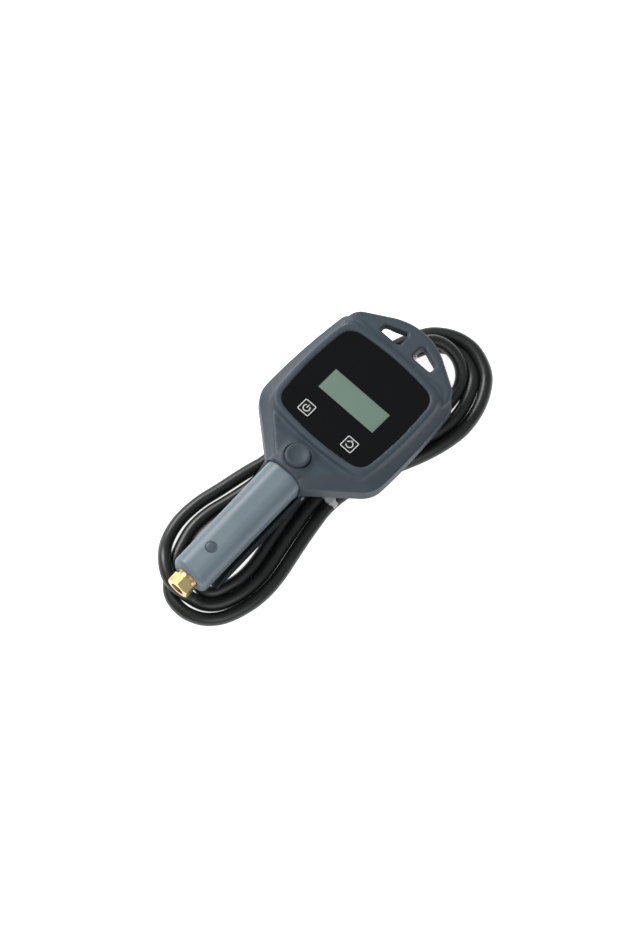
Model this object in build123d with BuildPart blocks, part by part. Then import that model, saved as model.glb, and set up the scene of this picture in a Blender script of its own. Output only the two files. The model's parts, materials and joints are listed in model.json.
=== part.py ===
"""Hand-held digital tyre inflator gauge, lying face up on its own coiled hose.

The handle's axis is the Y axis. The origin is the centre of the air inlet's mouth,
+Y runs from the inlet through the handle to the head, +Z points out of the face, and
+X is to the right as the user reads the display. The head leans on the handle by
HEAD_TILT. All lengths are in millimetres.
"""
from build123d import *
import os
from math import cos, pi, radians, sin, tan

os.makedirs("parts", exist_ok=True)

# Fits between pieces
SEAT = 0.05              # gap between two pieces that seat on each other
RUN = 0.05               # radial clearance of a moving round piece
SLIDE = 0.3              # gap round a moving button, key or lever

# Handle
HANDLE_W = 31.5
HANDLE_H = 32.0
HANDLE_R = 12.0          # corner radius of the handle's section
HANDLE_WALL = 3.0
HANDLE_END_WALL = 5.0
HANDLE_END_R = 4.5       # rounding of the handle's lower end
HANDLE_START = 12.0      # distance of the handle's lower end from the inlet's mouth
HANDLE_LEN = 116.0
PLUG_Y = 38.5            # round plug on the handle's front
PLUG_D = 9.5
PLUG_DEPTH = 2.0

# Air inlet adaptor, with an Rp 1/4 female thread
INLET_HEX = 18.0         # across flats
INLET_HEX_LEN = 8.5
INLET_THREAD_D = 11.45
INLET_THREAD_LEN = 14.0
INLET_NECK_D = 16.0
INLET_SPIGOT_D = 18.4
INLET_SPIGOT_END = 34.0
AIRWAY_D = 6.0
FILTER_T = 2.0
FILTER_D = 10.4

# Air tube from the inlet to the valve body
AIR_TUBE_D = 10.0
AIR_TUBE_WALL = 1.2
AIR_TUBE_SOCKET = 5.0    # how deep the tube sits in its two sockets

# Valve body inside the neck
VALVE_W = 22.0
VALVE_R = 7.0
VALVE_TOP = 8.0
VALVE_BOTTOM = -12.9
VALVE_START = 84.0
VALVE_END = 156.0
PLUNGER_Y = 98.0
PLUNGER_D = 6.0
STEM_D = 3.0
CHAMBER_D = 11.0
SEAT_Z = -4.0            # height of the inflation valve's seat
SEAT_WALL = 2.0
SEAT_HOLE_D = 4.0
POPPET_D = 8.0
POPPET_T = 2.0
VALVE_CAP_T = 3.0
SPRING_WIRE = 0.8
SPRING_D = 6.8
SPRING_TURNS = 5

# Trigger lever under the handle
PIVOT_Y = 122.0
PIVOT_Z = -19.0
PIVOT_PIN_D = 4.0
LEVER_START = 26.0       # free end of the lever
LEVER_T = 1.4
LEVER_BOTTOM = -29.0
LEVER_EDGE_R = 4.0
LEVER_FLANGE_TOP = -14.0
LEVER_TRAVEL = 6.0       # degrees
LUG_R = 5.5              # rounding of the pivot lug and of the lever's ears
PLUNGER_GAP = 0.3        # gap between the plunger's tip and the lever

# Head: its face plane, outline and layers, seen square to the face
HEAD_TILT = 7.5          # degrees that the face leans away from the handle
HEAD_Y = 202.0           # place of the display plate's centre
HEAD_Z = 10.0
NECK_HALF = 17.2
NECK_P = -81.0           # places along the face count from the plate's centre
LOW_HALF = 60.0
LOW_P = -43.5
SIDE_HALF = 60.2
HIGH_HALF = 55.5
HIGH_P = 54.5
APEX_P = 88.5
LOW_CORNER_R = 22.0
HIGH_CORNER_R = 14.0
APEX_R = 50.0
BOOT_WALL = 3.0
BOOT_TOP = -1.5          # depth of the boot's shoulder below its rim
BOOT_BACK = -30.0
BOOT_BACK_R = 4.5
BOOT_LIP = 5.0           # width of the lip that holds the rear housing
FLANK_IN = 10.0          # how far the flank leans in
FLANK_DOWN = 12.0        # how far it runs down
NECK_FLANK_IN = 4.0      # how far it leans in at the neck
MAIN_P = 62.0            # far end of the head's thick part
RIM_W = 5.5
RIM_R = 1.4

# Hanging ear with its two holes
EAR_P = 51.5
EAR_ROOT_HALF = 45.0
EAR_ROOT_P = 31.0
EAR_TOP = -2.5
EAR_BOTTOM = -12.5
EAR_EDGE_R = 3.5
WEB_HALF = 6.5
HOLE_P = 57.3
HOLE_HIGH = 13.7
HOLE_HALF_OUT = 25.7
HOLE_LOW = 6.5
HOLE_R = 2.6
HOLE_EDGE_R = 0.8

# Display plate
PLATE_HALF = 43.0
PLATE_HALF_P = 41.5
PLATE_BULGE = 46.0
PLATE_BULGE_P = 45.5
PLATE_R = 12.0
PLATE_T = 2.0
WINDOW_W = 56.0
WINDOW_H = 20.6
WINDOW_P = -1.8

# Keys in the display plate
KEY_X = 22.0
KEY_P = -31.4
KEY_SIZE = 12.0
KEY_R = 1.5
KEY_TRAVEL = 0.5
KEY_FLANGE = 1.5
KEY_LEN = 7.4

# Inside the head
CASE_T = 2.2             # wall of the two housings
CASE_SPLIT = -16.0
CASE_BACK = -28.0
CASE_END_P = 48.3
LCD_T = 3.0
LCD_RIM = 3.0
LCD_FRAME_T = 1.2
BOARD_T = 1.6
BOARD_TOP = -11.0
BOARD_W = 70.0
BOARD_H = 72.0
MAT_T = 0.8
MAT_W = 64.0
MAT_H = 20.0
DOME_D = 8.0
SCREW_X = 40.0
SCREW_P = 34.0
SCREW_D = 3.0
SCREW_HEAD_D = 5.6
SCREW_HEAD_T = 2.4
SCREW_LEN = 16.0
BOSS_D = 7.5

# Battery pod on the back
POD_W = 60.0
POD_START = 166.0
POD_END = 228.0
POD_R = 5.0
POD_FLOOR = -29.5
POD_EDGE_R = 2.0
BAY_WALL = 1.6
BATTERY_D = 14.5
BATTERY_LEN = 50.5
BATTERY_Z = -18.6
CONTACT_SPACE = 3.0      # room for a contact at each end of the cells
CONTACT_T = 0.5
COVER_T = 2.0
COVER_LEDGE = 1.0
COVER_SCREW_X = -8.0
RIB_LEN = 18.0
RIB_W = 1.2
RIB_STEP = 3.6
RIB_DEEP = 0.6

# Bleed button on the neck
BLEED_P = -66.5
BLEED_D = 20.0
BLEED_PROUD = 2.6
BLEED_TRAVEL = 1.5
BLEED_DISH_R = 26.0
BLEED_DISH = 1.1
BLEED_STEM_D = 4.0
BLEED_STEM_LEN = 17.0

# Outlet to the hose, through the head's far end
PORT_X = -4.0            # outlet port of the valve body
PORT_Z = -6.8
PORT_D = 4.0
OUTLET_TUBE_D = 6.0
OUTLET_TUBE_WALL = 1.0
OUTLET_BEND_R = 9.0
OUTLET_X = 0.0
OUTLET_W = -19.5         # depth of the outlet's axis below the face
OUTLET_TUBE_X = -12.0    # the tube passes the cells on this side
OUTLET_SOCKET = 4.0
OUTLET_FLANGE_D = 12.4
OUTLET_FLANGE_T = 1.6
OUTLET_NECK_D = 9.0
OUTLET_HEX = 11.0
OUTLET_HEX_LEN = 5.0
TAIL_D = 5.6
TAIL_BORE_D = 3.0
TAIL_LEN = 12.0
FERRULE_D = 13.6
FERRULE_LEN = 10.0
SENSOR_X = 6.0
SENSOR_Z = -4.0
SENSOR_D = 9.0
SENSOR_LEN = 7.0

# Hose and the cable tie round it
HOSE_D = 10.4
TABLE_Z = -40.0
HANK_EDGE_R = 4.4
MAX_BEND_R = 60.0
HANK_ROWS = 3            # strands side by side
TIE_X = 22.3             # centre of the bundle it holds
TIE_Y = 138.0
TIE_W = 4.8
TIE_T = 1.1
TIE_PROUD = 0.6
TIE_HEAD = (6.5, 6.8, 4.6)

# Tyre connector on the hose's far end
CONNECTOR_X = -44.0      # place of its hose end
CONNECTOR_Y = 192.0
CONNECTOR_LEAN = 5.0     # degrees that it leans from the handle's direction
CONNECTOR_D = 15.0
CONNECTOR_LEN = 34.0
CONNECTOR_BORE_D = 8.4
CONNECTOR_BORE = 16.0
CONNECTOR_HEX = 12.0
CONNECTOR_HEX_LEN = 6.0
CONNECTOR_FLAT = 5.5     # distance of the flat under the clip from the axis
SEAL_T = 3.0
CLIP_W = 6.0
CLIP_T = 1.8
CLIP_START = 8.0         # places along the connector
CLIP_PIVOT = 20.0
CLIP_TOOTH = 28.5
CLIP_TOOTH_W = 2.0
CLIP_GAP = 2.0           # gap between the clip and the connector's flat
CLIP_PIN_D = 2.0

HEAD = Plane(
    origin=(0, HEAD_Y, HEAD_Z),
    x_dir=(1, 0, 0),
    z_dir=(0, sin(radians(HEAD_TILT)), cos(radians(HEAD_TILT))),
)


def station(y):
    """Plane square to the handle's axis at distance y from the inlet's mouth, with Z up."""
    return Plane.XZ.offset(-y)


def level(z):
    """Level plane at height z."""
    return Plane.XY.offset(z)


def write(part, name):
    """Labels a finished piece and writes it to its own file."""
    part.label = name
    export_step(part, f"parts/{name}.step")
    print(f"{name:22s} {part.volume:12.1f} mm3")



HEAD_UP = Axis(HEAD.origin, HEAD.z_dir)
HEAD_ALONG = Axis(HEAD.origin, HEAD.y_dir)
HANDLE_END = HANDLE_START + HANDLE_LEN
CASE_TOP = BOOT_TOP - PLATE_T
CASE_START_Y = HANDLE_END + SLIDE - CASE_BACK * sin(radians(HEAD_TILT))
CASE_START_P = (CASE_START_Y - HEAD_Y) / cos(radians(HEAD_TILT))
HANK_TOP = TABLE_Z + HOSE_D


def main_outline(inset, neck_half=NECK_HALF):
    """Outline of the head's thick part, with a long neck, moved in by inset on all sides."""
    top_half = HIGH_HALF * (APEX_P - MAIN_P) / (APEX_P - HIGH_P)
    with BuildSketch() as outline:
        with BuildLine():
            Polyline((-LOW_HALF, LOW_P), (-neck_half, NECK_P), (-neck_half, 1.4 * NECK_P),
                     (neck_half, 1.4 * NECK_P), (neck_half, NECK_P), (LOW_HALF, LOW_P))
            ThreePointArc((LOW_HALF, LOW_P), (SIDE_HALF, 0), (HIGH_HALF, HIGH_P))
            Polyline((HIGH_HALF, HIGH_P), (top_half, MAIN_P), (-top_half, MAIN_P), (-HIGH_HALF, HIGH_P))
            ThreePointArc((-HIGH_HALF, HIGH_P), (-SIDE_HALF, 0), (-LOW_HALF, LOW_P))
        make_face()
        if inset:
            offset(amount=-inset, kind=Kind.INTERSECTION, mode=Mode.REPLACE)
        high_r = max(HIGH_CORNER_R - inset, 1)
        fillet(outline.vertices().group_by(Axis.Y)[-1], high_r)
        high = outline.vertices().filter_by(lambda corner: abs(corner.Y - HIGH_P + inset) < 8)
        fillet(high.sort_by(lambda corner: abs(corner.X))[-2:], high_r)
        low = outline.vertices().filter_by(lambda corner: abs(corner.Y - LOW_P - inset) < 12)
        fillet(low, LOW_CORNER_R - inset)
    return outline.sketch


def plate_outline(grow=0.0):
    """Barrel-sided outline of the display plate, grown on all sides."""
    half, reach = PLATE_HALF + grow, PLATE_HALF_P + grow
    bulge, bulge_reach = PLATE_BULGE + grow, PLATE_BULGE_P + grow
    with BuildSketch() as outline:
        with BuildLine():
            ThreePointArc((-half, -reach), (0, -bulge_reach), (half, -reach))
            ThreePointArc((half, -reach), (bulge, 0), (half, reach))
            ThreePointArc((half, reach), (0, bulge_reach), (-half, reach))
            ThreePointArc((-half, reach), (-bulge, 0), (-half, -reach))
        make_face()
        fillet(outline.vertices(), PLATE_R + grow)
    return outline.sketch


def flanked(inset, top, bottom, first_p, last_p):
    """Block inside the head's outline whose upper edge leans in as a flank, cut off at its ends."""
    with BuildPart() as block:
        with BuildSketch(HEAD.offset(bottom)):
            add(main_outline(inset))
        extrude(amount=top - FLANK_DOWN - bottom)
        with BuildSketch(HEAD.offset(top - FLANK_DOWN)):
            add(main_outline(inset))
        with BuildSketch(HEAD.offset(top)):
            add(main_outline(inset + FLANK_IN, NECK_HALF + FLANK_IN - NECK_FLANK_IN))
        loft(ruled=True)
        with BuildSketch(HEAD.offset(bottom)):
            with Locations((0, (first_p + last_p) / 2)):
                Rectangle(3 * SIDE_HALF, last_p - first_p)
        extrude(amount=top - bottom, mode=Mode.INTERSECT)
    return block.part


def band(upper, lower):
    """Block wide enough for the whole head between two depths below the face."""
    with BuildPart() as block:
        with BuildSketch(HEAD.offset(lower)):
            Rectangle(4 * SIDE_HALF, 6 * SIDE_HALF)
        extrude(amount=upper - lower)
    return block.part


with BuildSketch() as ear_outline:
    with BuildLine():
        Polyline((-EAR_ROOT_HALF, EAR_ROOT_P), (EAR_ROOT_HALF, EAR_ROOT_P), (HIGH_HALF, HIGH_P),
                 (0, APEX_P), (-HIGH_HALF, HIGH_P), close=True)
    make_face()
    fillet(ear_outline.vertices().group_by(Axis.Y)[-2], HIGH_CORNER_R)
    fillet(ear_outline.vertices().group_by(Axis.Y)[-1], APEX_R)

with BuildSketch() as hole_outline:
    with BuildLine():
        Polyline((WEB_HALF, HOLE_P), (HOLE_HALF_OUT, HOLE_P), (HOLE_HALF_OUT, HOLE_P + HOLE_LOW),
                 (WEB_HALF, HOLE_P + HOLE_HIGH), close=True)
    make_face()
    fillet(hole_outline.vertices().sort_by(Axis.X)[:2], HOLE_R)
    mirror(about=Plane.YZ)

# Handle, a moulded tube with a pivot lug for the lever
with BuildPart() as handle_shell:
    with BuildSketch(station(HANDLE_START)):
        RectangleRounded(HANDLE_W, HANDLE_H, HANDLE_R)
    extrude(amount=-HANDLE_LEN)
    fillet(handle_shell.edges().group_by(Axis.Y)[0], HANDLE_END_R)
    with BuildSketch(Plane.YZ):
        with Locations((PIVOT_Y, PIVOT_Z)):
            Circle(LUG_R - RUN)
        with Locations((PIVOT_Y, (PIVOT_Z - HANDLE_H / 4) / 2)):
            Rectangle(2 * (LUG_R - RUN), -PIVOT_Z - HANDLE_H / 4)
    extrude(amount=HANDLE_W / 2 - HANDLE_WALL / 2, both=True)
    with BuildSketch(Plane.YZ):
        with Locations((PIVOT_Y, PIVOT_Z)):
            Circle(PIVOT_PIN_D / 2 + RUN)
    extrude(amount=HANDLE_W, both=True, mode=Mode.SUBTRACT)
    with BuildSketch(station(HANDLE_START + HANDLE_END_WALL)):
        RectangleRounded(HANDLE_W - 2 * HANDLE_WALL, HANDLE_H - 2 * HANDLE_WALL, HANDLE_R - HANDLE_WALL)
    extrude(amount=-HANDLE_LEN, mode=Mode.SUBTRACT)
    with BuildSketch(station(0)):
        Circle(INLET_SPIGOT_D / 2 + SEAT)
    extrude(amount=-HANDLE_LEN / 2, mode=Mode.SUBTRACT)
    with BuildSketch(level(-HANDLE_H)):
        with Locations((0, PLUNGER_Y)):
            Circle(PLUNGER_D / 2 + SLIDE)
    extrude(amount=HANDLE_H, mode=Mode.SUBTRACT)
    with BuildSketch(level(HANDLE_H / 2)):
        with Locations((0, PLUG_Y)):
            Circle(PLUG_D / 2 + SEAT)
    extrude(amount=-PLUG_DEPTH, mode=Mode.SUBTRACT)
write(handle_shell.part, "handle_shell")

with BuildPart() as handle_plug:
    with BuildSketch(level(HANDLE_H / 2 - PLUG_DEPTH + SEAT)):
        with Locations((0, PLUG_Y)):
            Circle(PLUG_D / 2)
    extrude(amount=PLUG_DEPTH + 0.4)
    fillet(handle_plug.edges().group_by(Axis.Z)[-1], 0.6)
write(handle_plug.part, "handle_plug")

# Inlet adaptor: hexagon, neck, and a spigot bored for the air tube
with BuildPart() as inlet_adaptor:
    with BuildSketch(station(0)):
        RegularPolygon(INLET_HEX / 2, 6, major_radius=False, rotation=30)
    extrude(amount=-INLET_HEX_LEN)
    with BuildSketch(Plane.XY) as chamfer_cone:
        corner_r = INLET_HEX / 2 / cos(radians(30))
        with BuildLine():
            Polyline((0, 0), (corner_r - 1.4, 0), (corner_r + 0.2, 0.9), (corner_r + 0.2, INLET_HEX_LEN),
                     (0, INLET_HEX_LEN), close=True)
        make_face()
    revolve(axis=Axis.Y, mode=Mode.INTERSECT)
    with BuildSketch(station(INLET_HEX_LEN)):
        Circle(INLET_NECK_D / 2)
    extrude(amount=-(HANDLE_START - INLET_HEX_LEN))
    with BuildSketch(station(HANDLE_START)):
        Circle(INLET_SPIGOT_D / 2)
    extrude(amount=-(INLET_SPIGOT_END - HANDLE_START))
    with BuildSketch(station(0)):
        Circle(INLET_THREAD_D / 2)
    extrude(amount=-INLET_THREAD_LEN, mode=Mode.SUBTRACT)
    with BuildSketch(station(0)):
        Circle(FILTER_D / 2 + SEAT)
    extrude(amount=-(INLET_THREAD_LEN + FILTER_T + SEAT), mode=Mode.SUBTRACT)
    with BuildSketch(station(0)):
        Circle(AIRWAY_D / 2)
    extrude(amount=-INLET_SPIGOT_END, mode=Mode.SUBTRACT)
    with BuildSketch(station(INLET_SPIGOT_END - AIR_TUBE_SOCKET)):
        Circle(AIR_TUBE_D / 2 + SEAT)
    extrude(amount=-AIR_TUBE_SOCKET, mode=Mode.SUBTRACT)
write(inlet_adaptor.part, "inlet_adaptor")

with BuildPart() as inlet_filter:
    with BuildSketch(station(INLET_THREAD_LEN)):
        Circle(FILTER_D / 2)
    extrude(amount=-FILTER_T)
    chamfer(inlet_filter.edges().group_by(Axis.Y)[0], 0.5)
write(inlet_filter.part, "inlet_filter")

with BuildPart() as air_tube:
    first = INLET_SPIGOT_END - AIR_TUBE_SOCKET + SEAT
    with BuildSketch(station(first)):
        Circle(AIR_TUBE_D / 2)
        Circle(AIR_TUBE_D / 2 - AIR_TUBE_WALL, mode=Mode.SUBTRACT)
    extrude(amount=-(VALVE_START + AIR_TUBE_SOCKET - SEAT - first))
write(air_tube.part, "air_tube")

# Valve body, with the inflation valve's chamber, the bleed bore and the outlet port
BLEED = Plane(origin=HEAD.from_local_coords((0, BLEED_P, 0)), x_dir=(1, 0, 0), z_dir=HEAD.z_dir)

with BuildPart() as valve_body:
    with BuildSketch(station(VALVE_START)):
        with Locations((0, (VALVE_TOP + VALVE_BOTTOM) / 2)):
            RectangleRounded(VALVE_W, VALVE_TOP - VALVE_BOTTOM, VALVE_R)
    extrude(amount=-(VALVE_END - VALVE_START))
    with BuildSketch(station(VALVE_START)):
        Circle(AIR_TUBE_D / 2 + SEAT)
    extrude(amount=-AIR_TUBE_SOCKET, mode=Mode.SUBTRACT)
    with BuildSketch(station(VALVE_START)):
        Circle(AIRWAY_D / 2)
    extrude(amount=-(PLUNGER_Y - VALVE_START), mode=Mode.SUBTRACT)
    with BuildSketch(level(VALVE_BOTTOM)):
        with Locations((0, PLUNGER_Y)):
            Circle(PLUNGER_D / 2 + RUN)
    extrude(amount=SEAT_Z - SEAT_WALL - VALVE_BOTTOM, mode=Mode.SUBTRACT)
    with BuildSketch(level(VALVE_BOTTOM)):
        with Locations((0, PLUNGER_Y)):
            Circle(SEAT_HOLE_D / 2)
    extrude(amount=VALVE_TOP - VALVE_BOTTOM, mode=Mode.SUBTRACT)
    with BuildSketch(level(SEAT_Z)):
        with Locations((0, PLUNGER_Y)):
            Circle(CHAMBER_D / 2)
    extrude(amount=VALVE_TOP - SEAT_Z, mode=Mode.SUBTRACT)
    with BuildSketch(station(PLUNGER_Y)):
        with Locations((PORT_X, PORT_Z)):
            Circle(PORT_D / 2)
    extrude(amount=-(VALVE_END - PLUNGER_Y), mode=Mode.SUBTRACT)
    with BuildSketch(station(VALVE_END)):
        with Locations((PORT_X, PORT_Z)):
            Circle(OUTLET_TUBE_D / 2 + SEAT)
    extrude(amount=AIR_TUBE_SOCKET, mode=Mode.SUBTRACT)
    with BuildSketch(BLEED):
        Circle(BLEED_STEM_D / 2 + RUN)
    extrude(amount=-(BLEED_STEM_LEN + BLEED_TRAVEL + 3), mode=Mode.SUBTRACT)
write(valve_body.part, "valve_body")

with BuildPart() as valve_cap:
    with BuildSketch(level(VALVE_TOP - VALVE_CAP_T)):
        with Locations((0, PLUNGER_Y)):
            Circle(CHAMBER_D / 2 - SEAT)
    extrude(amount=VALVE_CAP_T)
    with BuildSketch(level(VALVE_TOP)):
        with Locations((0, PLUNGER_Y)):
            RegularPolygon(2.5, 6, major_radius=False)
    extrude(amount=-VALVE_CAP_T / 2, mode=Mode.SUBTRACT)
write(valve_cap.part, "valve_cap")

# Plunger that the lever lifts, with its stem and poppet in one turning
PLUNGER_TIP = LEVER_BOTTOM + LEVER_T + PLUNGER_GAP
PLUNGER_TOP = SEAT_Z - SEAT_WALL - 3.0
with BuildPart() as valve_plunger:
    with BuildSketch(Plane.YZ) as plunger_profile:
        with BuildLine():
            Polyline(
                (PLUNGER_Y, PLUNGER_TIP), (PLUNGER_Y + 0.8, PLUNGER_TIP),
                (PLUNGER_Y + PLUNGER_D / 2, PLUNGER_TIP + 1.4), (PLUNGER_Y + PLUNGER_D / 2, PLUNGER_TOP),
                (PLUNGER_Y + STEM_D / 2, PLUNGER_TOP), (PLUNGER_Y + STEM_D / 2, SEAT_Z + SEAT),
                (PLUNGER_Y + POPPET_D / 2, SEAT_Z + SEAT), (PLUNGER_Y + POPPET_D / 2, SEAT_Z + POPPET_T),
                (PLUNGER_Y, SEAT_Z + POPPET_T), close=True,
            )
        make_face()
    revolve(axis=Axis((0, PLUNGER_Y, 0), (0, 0, 1)))
write(valve_plunger.part, "valve_plunger")

SPRING_FOOT = SEAT_Z + POPPET_T + SPRING_WIRE / 2 + SEAT
SPRING_HEAD = VALVE_TOP - VALVE_CAP_T - SPRING_WIRE / 2 - SEAT
with BuildPart() as valve_spring:
    with BuildLine():
        coil = Helix(
            (SPRING_HEAD - SPRING_FOOT) / SPRING_TURNS, SPRING_HEAD - SPRING_FOOT, SPRING_D / 2,
            center=(0, PLUNGER_Y, SPRING_FOOT),
        )
    with BuildSketch(Plane(origin=coil @ 0, z_dir=coil % 0)):
        Circle(SPRING_WIRE / 2)
    sweep(is_frenet=True)
write(valve_spring.part, "valve_spring")

# Trigger lever: a pressed channel that straddles the handle, with two ears at its pivot
LEVER_INNER = HANDLE_W / 2 + 0.4
LEVER_OUTER = LEVER_INNER + LEVER_T
with BuildPart() as trigger_lever:
    with BuildSketch(Plane.YZ):
        with BuildLine():
            Polyline(
                (LEVER_START, LEVER_BOTTOM), (PIVOT_Y - 3, LEVER_BOTTOM), (PIVOT_Y + 1, PIVOT_Z),
                (PIVOT_Y, LEVER_FLANGE_TOP + 0.5), (PIVOT_Y - 12, LEVER_FLANGE_TOP),
                (LEVER_START + 14, LEVER_FLANGE_TOP - 3), (LEVER_START, LEVER_BOTTOM + 5), close=True,
            )
        make_face()
        with Locations((PIVOT_Y, PIVOT_Z)):
            Circle(LUG_R)
    extrude(amount=LEVER_OUTER, both=True)
    long_bottom = trigger_lever.edges().filter_by(Axis.Y).group_by(Axis.Z)[0]
    fillet(long_bottom, LEVER_EDGE_R)
    with BuildSketch(station(LEVER_START - 1)):
        with Locations((0, (LEVER_BOTTOM + LEVER_T + HANDLE_H) / 2)):
            RectangleRounded(2 * LEVER_INNER, HANDLE_H - LEVER_BOTTOM - LEVER_T, LEVER_EDGE_R - LEVER_T)
    extrude(amount=-(PIVOT_Y + 2 * LUG_R - LEVER_START), mode=Mode.SUBTRACT)
    with BuildSketch(Plane.YZ):
        with Locations((PIVOT_Y, PIVOT_Z)):
            Circle(PIVOT_PIN_D / 2 + RUN)
    extrude(amount=LEVER_OUTER + 1, both=True, mode=Mode.SUBTRACT)
write(trigger_lever.part, "trigger_lever")

with BuildPart() as lever_pin:
    with BuildSketch(Plane.YZ):
        with Locations((PIVOT_Y, PIVOT_Z)):
            Circle(PIVOT_PIN_D / 2)
    extrude(amount=LEVER_OUTER + 1, both=True)
    chamfer(lever_pin.edges().filter_by(GeomType.CIRCLE), 0.4)
write(lever_pin.part, "lever_pin")

# Plane of the outlet, at the outer face of the housings' end wall
OUTLET = Plane(
    origin=HEAD.from_local_coords((OUTLET_X, CASE_END_P, OUTLET_W)), x_dir=(1, 0, 0), z_dir=HEAD.y_dir
)

# Rubber boot round the head, with the hanging ear and the raised rim
case_room = flanked(BOOT_WALL, CASE_TOP, CASE_BACK - SEAT, CASE_START_P, CASE_END_P)

with BuildPart() as ear:
    with BuildSketch(HEAD.offset(EAR_BOTTOM)):
        add(ear_outline.sketch)
        add(hole_outline.sketch, mode=Mode.SUBTRACT)
    extrude(amount=EAR_TOP - EAR_BOTTOM)
    ear_face = ear.faces().sort_by(HEAD_UP)[-1]
    fillet(ear_face.outer_wire().edges().sort_by(HEAD_ALONG)[1:], EAR_EDGE_R)
    for wire in ear.faces().sort_by(HEAD_UP)[-1].inner_wires():
        fillet(wire.edges(), HOLE_EDGE_R)

with BuildPart() as rim:
    with BuildSketch(HEAD.offset(BOOT_TOP - PLATE_T)):
        add(plate_outline(RIM_W))
    extrude(amount=PLATE_T - BOOT_TOP)
    fillet(rim.faces().sort_by(HEAD_UP)[-1].edges(), RIM_R)

with BuildPart() as neck_fairing:
    with BuildSketch(station(HANDLE_END + SLIDE)):
        RectangleRounded(HANDLE_W, HANDLE_H, HANDLE_R)
    extrude(amount=-(POD_START + CASE_T - HANDLE_END))
    add(band(CASE_SPLIT, 3 * CASE_BACK), mode=Mode.INTERSECT)

with BuildPart() as boot:
    add(flanked(0, BOOT_TOP, BOOT_BACK, NECK_P, MAIN_P))
    back = boot.faces().sort_by(HEAD_UP)[0]
    fillet(back.edges().sort_by(HEAD_ALONG)[1:], BOOT_BACK_R)
    with BuildSketch(HEAD.offset(EAR_BOTTOM)):
        with Locations((0, EAR_P + SIDE_HALF)):
            Rectangle(3 * SIDE_HALF, 2 * SIDE_HALF)
    extrude(amount=BOOT_BACK - EAR_BOTTOM - 1, mode=Mode.SUBTRACT)
    with BuildSketch(HEAD):
        add(hole_outline.sketch)
    extrude(amount=BOOT_BACK, mode=Mode.SUBTRACT)
    add(ear.part)
    add(rim.part)
    with BuildSketch(HEAD):
        add(plate_outline(SEAT))
    extrude(amount=CASE_TOP, mode=Mode.SUBTRACT)
    add(case_room, mode=Mode.SUBTRACT)
    with BuildSketch(HEAD.offset(CASE_BACK)):
        add(main_outline(BOOT_WALL + BOOT_LIP))
        with Locations((0, (CASE_START_P + CASE_END_P - BOOT_LIP) / 2)):
            Rectangle(3 * SIDE_HALF, CASE_END_P - BOOT_LIP - CASE_START_P, mode=Mode.INTERSECT)
    extrude(amount=2 * (BOOT_BACK - CASE_BACK), mode=Mode.SUBTRACT)
    with BuildSketch(station(HANDLE_END + SLIDE)):
        RectangleRounded(HANDLE_W + 2 * SEAT, HANDLE_H + 2 * SEAT, HANDLE_R + SEAT)
    extrude(amount=HANDLE_LEN / 4, mode=Mode.SUBTRACT)
    with BuildSketch(station(HANDLE_END)):
        with Locations((0, (VALVE_TOP + VALVE_BOTTOM) / 2)):
            RectangleRounded(VALVE_W + 2 * SLIDE, VALVE_TOP - VALVE_BOTTOM + 2 * SLIDE, VALVE_R)
    extrude(amount=-(VALVE_END - HANDLE_END) / 2, mode=Mode.SUBTRACT)
    add(offset(neck_fairing.part, amount=SEAT, mode=Mode.PRIVATE), mode=Mode.SUBTRACT)
    with BuildSketch(station(PIVOT_Y - LUG_R - SLIDE)):
        with Locations((0, 1.5 * PIVOT_Z)):
            Rectangle(HANDLE_W, -2 * PIVOT_Z)
    extrude(amount=-(HANDLE_END + SLIDE - PIVOT_Y + LUG_R), mode=Mode.SUBTRACT)
    with BuildSketch(HEAD.offset(BOOT_TOP + 1)):
        with Locations((0, BLEED_P)):
            Circle(BLEED_D / 2 + SLIDE)
    extrude(amount=CASE_TOP - BOOT_TOP - 1, mode=Mode.SUBTRACT)
    with BuildSketch(OUTLET.offset(EAR_P - CASE_END_P)):
        Circle(OUTLET_NECK_D / 2 + SEAT)
    extrude(amount=-2 * BOOT_WALL, mode=Mode.SUBTRACT)
write(boot.part, "boot")

# Front housing, with the display window, the key openings and four screw bosses
SCREW_PLACES = [(x, p) for x in (-SCREW_X, SCREW_X) for p in (-SCREW_P, SCREW_P)]
INNER_TOP = CASE_TOP - CASE_T
case_outer = flanked(BOOT_WALL + SEAT, CASE_TOP - SEAT, CASE_BACK, CASE_START_P + SEAT, CASE_END_P - SEAT)
case_inner = flanked(
    BOOT_WALL + CASE_T, INNER_TOP, CASE_BACK + CASE_T, CASE_START_P - CASE_T, CASE_END_P - CASE_T
)

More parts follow.
